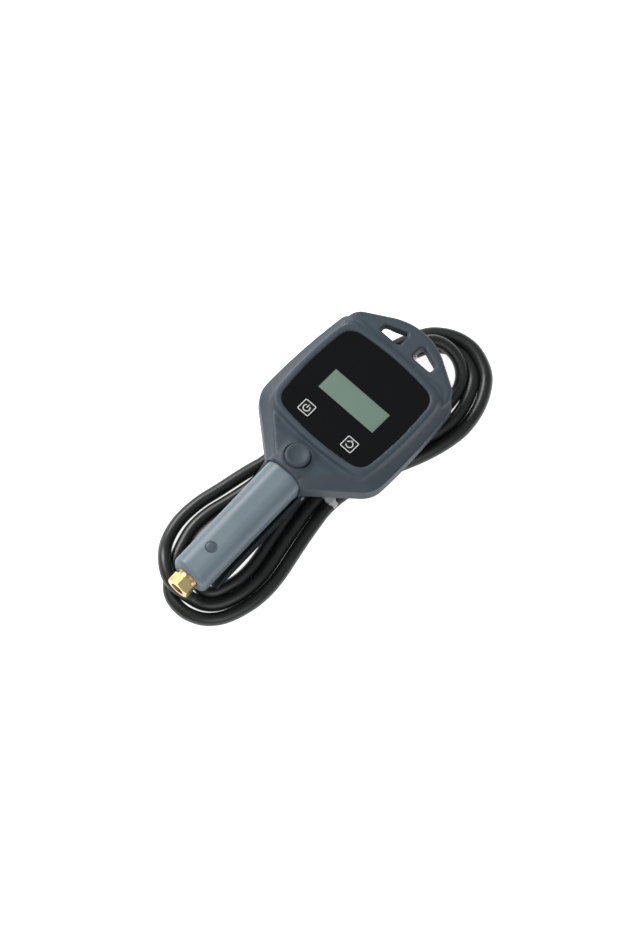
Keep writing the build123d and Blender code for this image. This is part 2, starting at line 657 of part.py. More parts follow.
with BuildPart() as front_housing:
    add(case_outer)
    add(band(CASE_TOP, CASE_SPLIT + SEAT), mode=Mode.INTERSECT)
    add(case_inner, mode=Mode.SUBTRACT)
    with BuildSketch(HEAD.offset(CASE_SPLIT + SEAT)):
        with Locations(SCREW_PLACES):
            Circle(BOSS_D / 2)
    extrude(amount=INNER_TOP - CASE_SPLIT)
    with BuildSketch(HEAD.offset(CASE_SPLIT)):
        with Locations(SCREW_PLACES):
            Circle(SCREW_D / 2 + SEAT)
    extrude(amount=INNER_TOP - CASE_SPLIT - CASE_T, mode=Mode.SUBTRACT)
    with BuildSketch(HEAD):
        with Locations((0, WINDOW_P)):
            Rectangle(WINDOW_W, WINDOW_H)
        with Locations((-KEY_X, KEY_P), (KEY_X, KEY_P)):
            RectangleRounded(KEY_SIZE + 2 * SLIDE, KEY_SIZE + 2 * SLIDE, KEY_R + SLIDE)
        with Locations((0, BLEED_P)):
            Circle(BLEED_STEM_D / 2 + SLIDE)
        with Locations((0, (BLEED_P + CASE_START_P) / 2 - CASE_T)):
            Rectangle(BLEED_STEM_D + 2 * SLIDE, BLEED_P - CASE_START_P + 2 * CASE_T)
    extrude(amount=INNER_TOP - 1, mode=Mode.SUBTRACT)
    with BuildSketch(OUTLET):
        Circle(OUTLET_NECK_D / 2 + SEAT)
    extrude(amount=-2 * CASE_T, mode=Mode.SUBTRACT)
write(front_housing.part, "front_housing")

# Rear housing, with the neck fairing and the battery pod
BAY_X = POD_W / 2 - CASE_T - BATTERY_D - SLIDE
BAY_Y = (POD_START + POD_END) / 2
BAY_W = 2 * (BATTERY_D + SLIDE)
BAY_L = BATTERY_LEN + 2 * CONTACT_SPACE
BAY_ROOF = BATTERY_Z + BATTERY_D / 2 + SLIDE
POD_INSIDE = POD_FLOOR + CASE_T
COVER_RIGHT = BAY_X + BAY_W / 2 + COVER_LEDGE
COVER_LEFT = COVER_SCREW_X - BOSS_D / 2
COVER_X = (COVER_LEFT + COVER_RIGHT) / 2
COVER_W = COVER_RIGHT - COVER_LEFT
COVER_L = BAY_L + 2 * COVER_LEDGE
CELLS_X = [BAY_X - (BATTERY_D + SLIDE) / 2, BAY_X + (BATTERY_D + SLIDE) / 2]

with BuildPart() as pod:
    with BuildSketch(level(POD_FLOOR)):
        with Locations((0, BAY_Y)):
            RectangleRounded(POD_W, POD_END - POD_START, POD_R)
    extrude(amount=-POD_FLOOR)
    fillet(pod.edges().group_by(Axis.Z)[0], POD_EDGE_R)
    add(band(CASE_BACK + CASE_T / 2, 3 * CASE_BACK), mode=Mode.INTERSECT)

with BuildPart() as bay:
    with BuildSketch(level(POD_FLOOR + POD_EDGE_R)):
        with Locations((BAY_X, BAY_Y)):
            RectangleRounded(BAY_W + 2 * BAY_WALL, BAY_L + 2 * BAY_WALL, POD_R - BAY_WALL)
    extrude(amount=BAY_ROOF + BAY_WALL - POD_FLOOR - POD_EDGE_R)
    with BuildSketch(level(POD_FLOOR + POD_EDGE_R)):
        with Locations((COVER_SCREW_X, BAY_Y)):
            Circle(BOSS_D / 2)
    extrude(amount=SCREW_LEN - POD_EDGE_R)

with BuildPart() as rear_housing:
    add(case_outer)
    add(band(CASE_SPLIT, 2 * CASE_BACK), mode=Mode.INTERSECT)
    add(pod.part)
    add(neck_fairing.part)
    add(case_inner, mode=Mode.SUBTRACT)
    with BuildSketch(level(POD_INSIDE)):
        with Locations((0, BAY_Y)):
            Rectangle(POD_W - 2 * CASE_T, POD_END - POD_START - 2 * CASE_T)
    extrude(amount=-POD_INSIDE, mode=Mode.SUBTRACT)
    with BuildSketch(station(HANDLE_END)):
        RectangleRounded(HANDLE_W - 2 * HANDLE_WALL, HANDLE_H - 2 * HANDLE_WALL, HANDLE_R - HANDLE_WALL)
    extrude(amount=-(POD_START + CASE_T + 1 - HANDLE_END), mode=Mode.SUBTRACT)
    add(bay.part)
    with BuildSketch(HEAD.offset(CASE_BACK)):
        with Locations(SCREW_PLACES):
            Circle(BOSS_D / 2)
    extrude(amount=CASE_SPLIT - CASE_BACK)
    with BuildSketch(level(POD_FLOOR)):
        with Locations((BAY_X, BAY_Y)):
            RectangleRounded(BAY_W, BAY_L, 1)
    extrude(amount=BAY_ROOF - POD_FLOOR, mode=Mode.SUBTRACT)
    with BuildSketch(level(POD_FLOOR)):
        with Locations((COVER_X, BAY_Y)):
            RectangleRounded(COVER_W, COVER_L, 2)
    extrude(amount=COVER_T, mode=Mode.SUBTRACT)
    with BuildSketch(level(POD_FLOOR)):
        with Locations((COVER_SCREW_X, BAY_Y)):
            Circle(SCREW_D / 2 + SEAT)
    extrude(amount=SCREW_LEN - 1, mode=Mode.SUBTRACT)
    with BuildSketch(HEAD.offset(CASE_BACK)):
        with Locations(SCREW_PLACES):
            Circle(SCREW_D / 2 + SLIDE)
    extrude(amount=CASE_SPLIT - CASE_BACK, mode=Mode.SUBTRACT)
    with BuildSketch(HEAD.offset(CASE_BACK)):
        with Locations(SCREW_PLACES):
            Circle(SCREW_HEAD_D / 2 + SEAT)
    extrude(amount=SCREW_HEAD_T + SEAT, mode=Mode.SUBTRACT)
    with BuildSketch(OUTLET):
        Circle(OUTLET_NECK_D / 2 + SEAT)
    extrude(amount=-2 * CASE_T, mode=Mode.SUBTRACT)
write(rear_housing.part, "rear_housing")


with BuildPart() as battery_cover:
    with BuildSketch(level(POD_FLOOR)):
        with Locations((COVER_X, BAY_Y)):
            RectangleRounded(COVER_W - 2 * SEAT, COVER_L - 2 * SEAT, 2 - SEAT)
    extrude(amount=COVER_T - SEAT)
    with BuildSketch(level(POD_FLOOR)):
        with Locations((BAY_X, BAY_Y)):
            with GridLocations(0, RIB_STEP, 1, 6):
                SlotOverall(RIB_LEN, RIB_W)
    extrude(amount=RIB_DEEP, mode=Mode.SUBTRACT)
    with BuildSketch(level(POD_FLOOR)):
        with Locations((COVER_SCREW_X, BAY_Y)):
            Circle(SCREW_D / 2 + SEAT)
    extrude(amount=COVER_T, mode=Mode.SUBTRACT)
    with BuildSketch(level(POD_FLOOR)):
        with Locations((COVER_SCREW_X, BAY_Y)):
            Circle(SCREW_HEAD_D / 2 + SEAT)
    extrude(amount=COVER_T / 2, mode=Mode.SUBTRACT)
write(battery_cover.part, "battery_cover")


def screw(plane, head_t, length):
    """Cross-head screw whose head's outer face lies on the plane, driven along its normal."""
    with BuildPart() as fastener:
        with BuildSketch(plane):
            Circle(SCREW_HEAD_D / 2)
        extrude(amount=head_t)
        with BuildSketch(plane.offset(head_t)):
            Circle(SCREW_D / 2)
        extrude(amount=length - head_t)
        with BuildSketch(plane):
            Rectangle(SCREW_HEAD_D * 0.6, 0.7)
            Rectangle(0.7, SCREW_HEAD_D * 0.6)
        extrude(amount=head_t / 2, mode=Mode.SUBTRACT)
    return fastener.part


for number, (x, p) in enumerate(SCREW_PLACES, 1):
    seat = Plane(origin=HEAD.from_local_coords((x, p, CASE_BACK + SEAT)), x_dir=(1, 0, 0), z_dir=HEAD.z_dir)
    write(screw(seat, SCREW_HEAD_T - SEAT, SCREW_LEN), f"housing_screw_{number}")
cover_seat = Plane(origin=(COVER_SCREW_X, BAY_Y, POD_FLOOR + SEAT))
write(screw(cover_seat, COVER_T / 2 - SEAT, SCREW_LEN - COVER_T - 1), "battery_cover_screw")

# Two cells and the plates that join them
for number, (x, end) in enumerate(zip(CELLS_X, (-1, 1)), 1):
    with BuildPart() as cell:
        with BuildSketch(station(BAY_Y - end * BATTERY_LEN / 2)):
            with Locations((x, BATTERY_Z)):
                Circle(BATTERY_D / 2)
        extrude(amount=-end * (BATTERY_LEN - 1.5))
        chamfer(cell.edges().filter_by(GeomType.CIRCLE), 0.4)
        with BuildSketch(station(BAY_Y + end * (BATTERY_LEN / 2 - 1.5))):
            with Locations((x, BATTERY_Z)):
                Circle(2.75)
        extrude(amount=-end * 1.5)
    write(cell.part, f"battery_cell_{number}")

for name, side in (("battery_bridge", 1), ("battery_contact", -1)):
    with BuildPart() as plate:
        with BuildSketch(station(BAY_Y + side * (BAY_L / 2 - SEAT))):
            with Locations((BAY_X, BATTERY_Z)):
                Rectangle(BAY_W - 2, BATTERY_D - 4)
        extrude(amount=side * CONTACT_T)
        with BuildSketch(station(BAY_Y + side * (BAY_L / 2 - SEAT - CONTACT_T))):
            with Locations(*[(x, BATTERY_Z) for x in CELLS_X]):
                Circle(2.5)
        extrude(amount=side * (CONTACT_SPACE - CONTACT_T - 2 * SEAT))
    write(plate.part, name)

# Display plate, its clear window and the parts behind it
with BuildPart() as display_plate:
    with BuildSketch(HEAD.offset(CASE_TOP)):
        add(plate_outline())
        with Locations((0, WINDOW_P)):
            Rectangle(WINDOW_W, WINDOW_H, mode=Mode.SUBTRACT)
        with Locations((-KEY_X, KEY_P), (KEY_X, KEY_P)):
            RectangleRounded(KEY_SIZE + 2 * SLIDE, KEY_SIZE + 2 * SLIDE, KEY_R + SLIDE, mode=Mode.SUBTRACT)
    extrude(amount=PLATE_T)
write(display_plate.part, "display_plate")

with BuildPart() as display_window:
    with BuildSketch(HEAD.offset(CASE_TOP)):
        with Locations((0, WINDOW_P)):
            Rectangle(WINDOW_W - 2 * SEAT, WINDOW_H - 2 * SEAT)
    extrude(amount=PLATE_T)
write(display_window.part, "display_window")

with BuildPart() as lcd_module:
    with BuildSketch(HEAD.offset(INNER_TOP - SEAT)):
        with Locations((0, WINDOW_P)):
            Rectangle(WINDOW_W + 2 * LCD_RIM, WINDOW_H + 2 * LCD_RIM)
    extrude(amount=-LCD_T)
write(lcd_module.part, "lcd_module")

LCD_BACK = INNER_TOP - SEAT - LCD_T
with BuildPart() as lcd_frame:
    with BuildSketch(HEAD.offset(LCD_BACK - SEAT)):
        with Locations((0, WINDOW_P)):
            Rectangle(WINDOW_W + 2 * LCD_RIM, WINDOW_H + 2 * LCD_RIM)
            Rectangle(WINDOW_W, WINDOW_H, mode=Mode.SUBTRACT)
    extrude(amount=-(LCD_BACK - 2 * SEAT - BOARD_TOP))
write(lcd_frame.part, "lcd_frame")

with BuildPart() as circuit_board:
    with BuildSketch(HEAD.offset(BOARD_TOP)):
        RectangleRounded(BOARD_W, BOARD_H, 3)
    extrude(amount=-BOARD_T)
write(circuit_board.part, "circuit_board")

# Keys over the domes of a rubber mat
KEY_TOP = BOOT_TOP + 0.2
KEY_FLANGE_TOP = INNER_TOP - SEAT
KEY_BOTTOM = KEY_TOP - KEY_LEN
for name, x in (("key_left", -KEY_X), ("key_right", KEY_X)):
    with BuildPart() as key:
        with BuildSketch(HEAD.offset(KEY_BOTTOM)):
            with Locations((x, KEY_P)):
                RectangleRounded(KEY_SIZE, KEY_SIZE, KEY_R)
        extrude(amount=KEY_LEN)
        fillet(key.faces().sort_by(HEAD_UP)[-1].edges(), 0.3)
        with BuildSketch(HEAD.offset(KEY_FLANGE_TOP)):
            with Locations((x, KEY_P)):
                RectangleRounded(KEY_SIZE + 2 * KEY_FLANGE, KEY_SIZE + 2 * KEY_FLANGE, KEY_R)
        extrude(amount=KEY_BOTTOM - KEY_FLANGE_TOP)
    write(key.part, name)

with BuildPart() as key_mat:
    with BuildSketch(HEAD.offset(BOARD_TOP + SEAT)):
        with Locations((0, KEY_P)):
            Rectangle(MAT_W, MAT_H)
    extrude(amount=MAT_T)
    with BuildSketch(HEAD.offset(BOARD_TOP + SEAT)):
        with Locations((-KEY_X, KEY_P), (KEY_X, KEY_P)):
            Circle(DOME_D / 2)
    extrude(amount=KEY_BOTTOM - KEY_TRAVEL - 2 * SEAT - BOARD_TOP, taper=20)
write(key_mat.part, "key_mat")

# Bleed button and the stem that it pushes
BLEED_BOTTOM = CASE_TOP + BLEED_TRAVEL + SLIDE
BLEED_TOP = BOOT_TOP + BLEED_PROUD
with BuildPart() as bleed_button:
    with BuildSketch(BLEED.offset(BLEED_BOTTOM)):
        Circle(BLEED_D / 2)
    extrude(amount=BLEED_TOP - BLEED_BOTTOM)
    fillet(bleed_button.edges().sort_by(HEAD_UP)[-1], 0.9)
    with Locations(BLEED.offset(BLEED_TOP + BLEED_DISH_R - BLEED_DISH)):
        Sphere(BLEED_DISH_R, mode=Mode.SUBTRACT)
    with BuildSketch(BLEED.offset(BLEED_BOTTOM)):
        Circle(BLEED_STEM_D / 2 + SEAT)
    extrude(amount=(BLEED_TOP - BLEED_BOTTOM) / 3, mode=Mode.SUBTRACT)
write(bleed_button.part, "bleed_button")

with BuildPart() as bleed_stem:
    with BuildSketch(BLEED.offset(BLEED_BOTTOM + (BLEED_TOP - BLEED_BOTTOM) / 3 - SEAT)):
        Circle(BLEED_STEM_D / 2)
    extrude(amount=-BLEED_STEM_LEN)
    chamfer(bleed_stem.edges().sort_by(HEAD_UP)[0], 0.8)
write(bleed_stem.part, "bleed_stem")

# Pressure sensor on the valve body's end
with BuildPart() as pressure_sensor:
    with BuildSketch(station(VALVE_END + SEAT)):
        with Locations((SENSOR_X, SENSOR_Z)):
            Circle(SENSOR_D / 2)
    extrude(amount=-SENSOR_LEN)
    with BuildSketch(station(VALVE_END + SEAT + SENSOR_LEN)):
        with Locations((SENSOR_X, SENSOR_Z)):
            with GridLocations(2.5, 2.5, 2, 2):
                Circle(0.3)
    extrude(amount=-3)
write(pressure_sensor.part, "pressure_sensor")

# Outlet tube, fitting and ferrule
OUTLET_INNER = -CASE_T - OUTLET_FLANGE_T - OUTLET_SOCKET
with BuildPart() as outlet_tube:
    with BuildLine() as run:
        FilletPolyline(
            (PORT_X, VALVE_END - AIR_TUBE_SOCKET + SEAT, PORT_Z),
            (PORT_X, VALVE_END + OUTLET_BEND_R, PORT_Z),
            HEAD.from_local_coords((OUTLET_TUBE_X, -2 * OUTLET_BEND_R, OUTLET_W)),
            OUTLET.from_local_coords((OUTLET_TUBE_X - OUTLET_X, 0, OUTLET_INNER + OUTLET_TUBE_X - OUTLET_TUBE_D)),
            OUTLET.from_local_coords((0, 0, OUTLET_INNER - OUTLET_TUBE_D + 1.5)),
            OUTLET.from_local_coords((0, 0, OUTLET_INNER + OUTLET_SOCKET - SEAT)),
            radius=OUTLET_BEND_R,
        )
    with BuildSketch(Plane(origin=run.line @ 0, z_dir=run.line % 0)):
        Circle(OUTLET_TUBE_D / 2)
        Circle(OUTLET_TUBE_D / 2 - OUTLET_TUBE_WALL, mode=Mode.SUBTRACT)
    sweep()
write(outlet_tube.part, "outlet_tube")

HEX_START = EAR_P - CASE_END_P + SEAT
HEX_END = HEX_START + OUTLET_HEX_LEN
with BuildPart() as outlet_fitting:
    with BuildSketch(OUTLET.offset(OUTLET_INNER)):
        Circle(OUTLET_NECK_D / 2)
    extrude(amount=HEX_START - OUTLET_INNER)
    with BuildSketch(OUTLET.offset(-CASE_T - SEAT)):
        Circle(OUTLET_FLANGE_D / 2)
    extrude(amount=-OUTLET_FLANGE_T)
    with BuildSketch(OUTLET.offset(HEX_START)):
        RegularPolygon(OUTLET_HEX / 2, 6, major_radius=False)
    extrude(amount=OUTLET_HEX_LEN)
    with BuildSketch(OUTLET.offset(HEX_END)):
        Circle(TAIL_D / 2)
    extrude(amount=TAIL_LEN)
    with BuildSketch(OUTLET.offset(OUTLET_INNER)):
        Circle(OUTLET_TUBE_D / 2 + SEAT)
    extrude(amount=OUTLET_SOCKET, mode=Mode.SUBTRACT)
    with BuildSketch(OUTLET.offset(OUTLET_INNER)):
        Circle(TAIL_BORE_D / 2)
    extrude(amount=HEX_END + TAIL_LEN - OUTLET_INNER, mode=Mode.SUBTRACT)
write(outlet_fitting.part, "outlet_fitting")


def crimp(plane):
    """Ferrule crimped on the hose; the plane is its fitting end and its normal runs along the hose."""
    with BuildPart() as sleeve:
        with BuildSketch(plane):
            Circle(FERRULE_D / 2)
            Circle(HOSE_D / 2 + SEAT, mode=Mode.SUBTRACT)
        extrude(amount=FERRULE_LEN)
        chamfer(sleeve.edges().filter_by(GeomType.CIRCLE).sort_by(SortBy.RADIUS)[-2:], 0.6)
        for along in (0.35, 0.65):
            with BuildSketch(plane.offset(along * FERRULE_LEN)):
                Circle(FERRULE_D / 2 + 1)
                Circle(FERRULE_D / 2 - 0.5, mode=Mode.SUBTRACT)
            extrude(amount=1.6, mode=Mode.SUBTRACT)
    return sleeve.part


write(crimp(OUTLET.offset(HEX_END + SEAT)), "outlet_ferrule")

# Hose hank: three strands side by side, closed round the handle's back
HOSE_Z = TABLE_Z + HOSE_D / 2
HANK_OUTER = [
    (-30.5, 132.6), (-36.8, 114.1), (-42.3, 90.0), (-47.7, 70.7), (-49.3, 48.8), (-44.6, 29.0),
    (-34.5, 14.4), (-20.4, 1.9), (-8.7, -5.7), (6.2, -8.0), (17.9, -5.5), (28.8, 0.2), (38.2, 10.7),
    (44.4, 24.5), (49.1, 43.1), (49.1, 65.1), (44.4, 89.6), (40.5, 112.5), (37.5, 136.3), (43.0, 162.0),
    (53.0, 187.2), (66.3, 215.5), (73.3, 242.6), (73.0, 260.7), (68.6, 278.1), (60.0, 293.5),
    (50.7, 301.8), (36.6, 308.0), (24.1, 309.4), (10.1, 306.1), (-1.7, 298.9), (-9.5, 290.7),
    (-17.7, 274.6), (-24.5, 255.0), (-31.0, 232.0), (-35.0, 208.0), (-35.5, 182.0), (-33.0, 157.0),
]

HANK_INNER = [
    (-3.6, 116.0), (-8.8, 96.0), (-15.2, 72.0), (-18.3, 54.0), (-16.3, 40.0), (-9.0, 29.5), (2.0, 24.5),
    (11.0, 28.0), (16.1, 38.3), (18.6, 53.8), (16.2, 72.1), (11.3, 98.1), (8.0, 118.0), (7.5, 143.3),
    (14.4, 174.7), (24.9, 200.8), (35.5, 222.9), (41.4, 240.2), (42.2, 255.4), (38.4, 269.6),
    (30.0, 276.5), (20.5, 275.0), (13.5, 266.0), (7.2, 251.6), (0.6, 229.6), (-3.5, 209.2),
    (-4.4, 188.4), (-3.4, 167.9), (-1.5, 140.0),
]
TIE_PLANE = Plane(origin=(TIE_X, TIE_Y, HOSE_Z), x_dir=(1, 0, 0), z_dir=(0, 1, 0))
TIE_SPAN = HANK_ROWS * HOSE_D + 2 * TIE_PROUD
TIE_FOOT = Plane(origin=(TIE_X + TIE_SPAN / 2 - TIE_HEAD[0], TIE_Y, TABLE_Z + HOSE_D - TIE_T / 2))


def tie_section(inward):
    """Section of the bundle inside the tie, moved in from the tie's outer face."""
    return RectangleRounded(TIE_SPAN - 2 * inward, HOSE_D - 2 * inward, HANK_EDGE_R - inward)


with BuildPart() as tie_groove:
    with BuildSketch(TIE_PLANE):
        RectangleRounded(TIE_SPAN + 4, HOSE_D + 4, HANK_EDGE_R)
        add(tie_section(TIE_T + SEAT), mode=Mode.SUBTRACT)
    extrude(amount=TIE_W / 2 + SEAT, both=True)
    with BuildSketch(TIE_FOOT.offset(-SEAT)):
        RectangleRounded(TIE_HEAD[0] + 2 * SEAT, TIE_HEAD[1] + 2 * SEAT, 1)
    extrude(amount=TIE_HEAD[2])

with BuildPart() as hose_hank:
    with BuildSketch(level(TABLE_Z)):
        with BuildLine():
            Spline(*HANK_OUTER, periodic=True)
        make_face()
        with BuildLine():
            Spline(*HANK_INNER, periodic=True)
        make_face(mode=Mode.SUBTRACT)
    extrude(amount=HOSE_D)
    fillet(hose_hank.faces().filter_by(Axis.Z).edges(), HANK_EDGE_R)
    add(tie_groove.part, mode=Mode.SUBTRACT)
write(hose_hank.part, "hose_hank")

with BuildPart() as cable_tie:
    with BuildSketch(TIE_PLANE):
        add(tie_section(0))
        add(tie_section(TIE_T), mode=Mode.SUBTRACT)
    extrude(amount=TIE_W / 2, both=True)
    with BuildSketch(TIE_FOOT):
        RectangleRounded(TIE_HEAD[0], TIE_HEAD[1], 1)
    extrude(amount=TIE_HEAD[2])
write(cable_tie.part, "cable_tie")


def hose(points, bores, name):
    """Run of hose through the points, bored for the fittings at its ends; its ends stay straight."""
    places = [Vector(point) for point in points]
    lengths = [(after - at).length for at, after in zip(places, places[1:])]
    room = [0.49 * length for length in lengths]
    room[0] = lengths[0] - FERRULE_LEN - 1
    room[-1] = lengths[-1] - FERRULE_LEN - 1
    radii = []
    for corner, (before, at, after) in enumerate(zip(places, places[1:], places[2:])):
        half_turn = radians((at - before).get_angle(after - at)) / 2
        reach = min(room[corner], room[corner + 1], MAX_BEND_R * tan(half_turn))
        radii.append(reach / tan(half_turn))
    with BuildPart() as stretch:
        with BuildLine():
            route = FilletPolyline(*places, radius=radii)
        with BuildSketch(Plane(origin=route @ 0, z_dir=route % 0)):
            Circle(HOSE_D / 2)
        sweep()
        for plane in bores:
            with BuildSketch(plane):
                Circle(TAIL_D / 2 + SEAT)
            extrude(amount=TAIL_LEN + SEAT, mode=Mode.SUBTRACT)
    print(name, "bends", [round(r, 1) for r in radii], "length", round(route.length, 1))
    write(stretch.part, name)


hose(
    [OUTLET.from_local_coords((0, 0, HEX_END + SEAT)), OUTLET.from_local_coords((0, 0, HEX_END + 32.8)),
     (47.0, 288.0, HOSE_Z), (47.0, 252.0, HOSE_Z)],
    [OUTLET.offset(HEX_END)], "hose_lead",
)

# Clip-on tyre connector; local z runs from its hose end to its mouth, local x to the clip
LEAN = radians(CONNECTOR_LEAN)
CONNECTOR = Plane(
    origin=(CONNECTOR_X, CONNECTOR_Y, TABLE_Z + CONNECTOR_D / 2),
    x_dir=(-cos(LEAN), -sin(LEAN), 0), z_dir=(-sin(LEAN), cos(LEAN), 0),
)
BACKWARD = Plane(origin=CONNECTOR.origin, x_dir=CONNECTOR.x_dir, z_dir=-CONNECTOR.z_dir)
SIDE = Plane(origin=CONNECTOR.origin, x_dir=CONNECTOR.x_dir, z_dir=-CONNECTOR.y_dir)
write(crimp(BACKWARD.offset(SEAT)), "end_ferrule")
hose(
    [(-27.0, 93.0, HOSE_Z), (-20.8, 119.0, HOSE_Z), (-22.0, 138.0, -24.5), (-33.5, 152.0, -24.5),
     BACKWARD.from_local_coords((0, 0, FERRULE_LEN + 14)), BACKWARD.from_local_coords((0, 0, SEAT))],
    [BACKWARD], "hose_tail",
)
CLIP_UNDER = CONNECTOR_FLAT + CLIP_GAP
CLIP_AXIS_X = CLIP_UNDER + CLIP_T / 2

with BuildPart() as connector_body:
    with BuildSketch(CONNECTOR):
        RegularPolygon(CONNECTOR_HEX / 2, 6, major_radius=False)
    extrude(amount=CONNECTOR_HEX_LEN)
    with BuildSketch(CONNECTOR.offset(CONNECTOR_HEX_LEN)):
        Circle(CONNECTOR_D / 2)
    extrude(amount=CONNECTOR_LEN - CONNECTOR_HEX_LEN)
    chamfer(connector_body.edges().filter_by(GeomType.CIRCLE), 0.4)
    with BuildSketch(CONNECTOR.offset(CONNECTOR_HEX_LEN + 2)):
        with Locations((CONNECTOR_FLAT + CONNECTOR_D / 2, 0)):
            Rectangle(CONNECTOR_D, CONNECTOR_D)
    extrude(amount=CONNECTOR_LEN, mode=Mode.SUBTRACT)
    with BuildSketch(SIDE):
        with Locations((CLIP_AXIS_X, CLIP_PIVOT)):
            Circle(CLIP_PIN_D)
        with Locations((CLIP_AXIS_X / 2, CLIP_PIVOT)):
            Rectangle(CLIP_AXIS_X, 2 * CLIP_PIN_D)
    extrude(amount=CLIP_W / 2 + SLIDE + 1.2, both=True)
    with BuildSketch(SIDE):
        with Locations((CONNECTOR_FLAT + CONNECTOR_D / 2, CLIP_PIVOT)):
            Rectangle(CONNECTOR_D, CONNECTOR_D)
    extrude(amount=CLIP_W / 2 + SLIDE, both=True, mode=Mode.SUBTRACT)
    with BuildSketch(SIDE):
        with Locations((CLIP_AXIS_X, CLIP_PIVOT)):
            Circle(CLIP_PIN_D / 2 + SEAT)
    extrude(amount=CONNECTOR_D, both=True, mode=Mode.SUBTRACT)
    with BuildSketch(CONNECTOR.offset(CONNECTOR_LEN)):
        Circle(CONNECTOR_BORE_D / 2)
    extrude(amount=-CONNECTOR_BORE, mode=Mode.SUBTRACT)
    with BuildSketch(SIDE):
        with Locations((CONNECTOR_FLAT, CLIP_TOOTH + CLIP_TOOTH_W / 2)):
            Rectangle(2 * CONNECTOR_FLAT, 2 * CLIP_TOOTH_W + 2 * SLIDE)
    extrude(amount=CLIP_W / 2 + SLIDE, both=True, mode=Mode.SUBTRACT)
    with BuildSketch(BACKWARD):
        Circle(TAIL_D / 2)
    extrude(amount=TAIL_LEN)
    with BuildSketch(BACKWARD.offset(TAIL_LEN)):
        Circle(TAIL_BORE_D / 2)
    extrude(amount=-TAIL_LEN - CONNECTOR_LEN, mode=Mode.SUBTRACT)
write(connector_body.part, "connector_body")

with BuildPart() as connector_seal:
    with BuildSketch(CONNECTOR.offset(CONNECTOR_LEN - CONNECTOR_BORE + SEAT)):
        Circle(CONNECTOR_BORE_D / 2 - SEAT)
        Circle(TAIL_BORE_D / 2, mode=Mode.SUBTRACT)
    extrude(amount=SEAL_T)
    chamfer(connector_seal.edges().filter_by(GeomType.CIRCLE).sort_by(SortBy.RADIUS)[0], 0.4)
write(connector_seal.part, "connector_seal")

with BuildPart() as connector_clip:
    with BuildSketch(SIDE):
        with Locations((CLIP_AXIS_X, (CLIP_START + CONNECTOR_LEN) / 2 - 1)):
            Rectangle(CLIP_T, CONNECTOR_LEN - CLIP_START - 2)
        with Locations((CLIP_AXIS_X, CLIP_PIVOT)):
            Circle(CLIP_PIN_D / 2 + CLIP_T / 2)
        with Locations((CLIP_AXIS_X, CLIP_TOOTH + CLIP_TOOTH_W / 2)):
            Rectangle(CLIP_T, CLIP_TOOTH_W)
        with Locations(((CLIP_AXIS_X + CONNECTOR_BORE_D / 2 - 0.6) / 2, CLIP_TOOTH + CLIP_TOOTH_W / 2)):
            Rectangle(CLIP_AXIS_X - CONNECTOR_BORE_D / 2 + 0.6, CLIP_TOOTH_W)
    extrude(amount=CLIP_W / 2, both=True)
    fillet(connector_clip.edges().filter_by(GeomType.LINE).filter_by(Axis.Z).group_by(Axis.Y)[0], 0.6)
    with BuildSketch(SIDE):
        with Locations((CLIP_AXIS_X, CLIP_PIVOT)):
            Circle(CLIP_PIN_D / 2 + RUN)
    extrude(amount=CLIP_W, both=True, mode=Mode.SUBTRACT)
write(connector_clip.part, "connector_clip")

with BuildPart() as clip_pin:
    with BuildSketch(SIDE):
        with Locations((CLIP_AXIS_X, CLIP_PIVOT)):
            Circle(CLIP_PIN_D / 2)
    extrude(amount=CLIP_W / 2 + SLIDE + 1.5, both=True)
write(clip_pin.part, "clip_pin")
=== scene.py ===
"""Looks of the digital tyre inflator gauge: camera, light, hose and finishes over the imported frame."""
import json

import bmesh
import bpy
import numpy as np
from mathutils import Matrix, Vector


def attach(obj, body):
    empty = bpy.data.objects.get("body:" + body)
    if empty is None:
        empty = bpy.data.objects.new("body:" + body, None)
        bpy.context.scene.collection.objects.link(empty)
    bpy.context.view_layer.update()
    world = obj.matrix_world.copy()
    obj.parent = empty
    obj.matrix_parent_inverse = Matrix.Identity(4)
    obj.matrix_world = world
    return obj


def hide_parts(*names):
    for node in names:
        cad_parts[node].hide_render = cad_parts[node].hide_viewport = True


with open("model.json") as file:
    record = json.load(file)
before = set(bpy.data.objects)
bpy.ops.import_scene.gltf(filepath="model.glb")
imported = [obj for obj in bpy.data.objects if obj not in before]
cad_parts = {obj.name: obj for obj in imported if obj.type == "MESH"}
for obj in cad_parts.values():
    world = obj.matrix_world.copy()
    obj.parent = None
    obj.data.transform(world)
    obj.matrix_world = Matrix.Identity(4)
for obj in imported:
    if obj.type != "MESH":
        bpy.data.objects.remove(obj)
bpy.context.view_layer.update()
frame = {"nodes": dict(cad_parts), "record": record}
scene = bpy.context.scene
scene.view_settings.view_transform = "Standard"
MM = 0.001

# View of the photograph, in degrees and metres; the long lens makes it nearly parallel
CAMERA_AZIMUTH = 42.33
CAMERA_ELEVATION = 72.0
CAMERA_AWAY = 8.0
CAMERA_AIM = (0.00857, 0.1412, 0.0)
LENS_MM = 270.13
SENSOR_MM = 24.0

# Ground and light
FLOOR_LEVEL = -0.0401
FLOOR_HALF = 1.6
MIDDLE_Y = 0.15
FLOOR_GLOW = 0.86
SURROUND_LIGHT = 0.30
SURROUND_SEEN = 1.0

# The head's own axes, as in the CAD: across, along the face, and out of the face
TILT = np.radians(7.5)
HEAD_CENTRE = np.array([0.0, 202.0, 10.0])
HEAD_AXES = np.array([
    [1.0, 0.0, 0.0],
    [0.0, np.cos(TILT), -np.sin(TILT)],
    [0.0, np.sin(TILT), np.cos(TILT)],
])


def on_head(x, p, w):
    """Points in millimetres at x across, p along the face and w out of it, as rows of world places."""
    x, p, w = np.broadcast_arrays(x, p, w)
    local = np.stack([x, p, w], axis=-1).astype(float)
    return HEAD_CENTRE + local @ HEAD_AXES


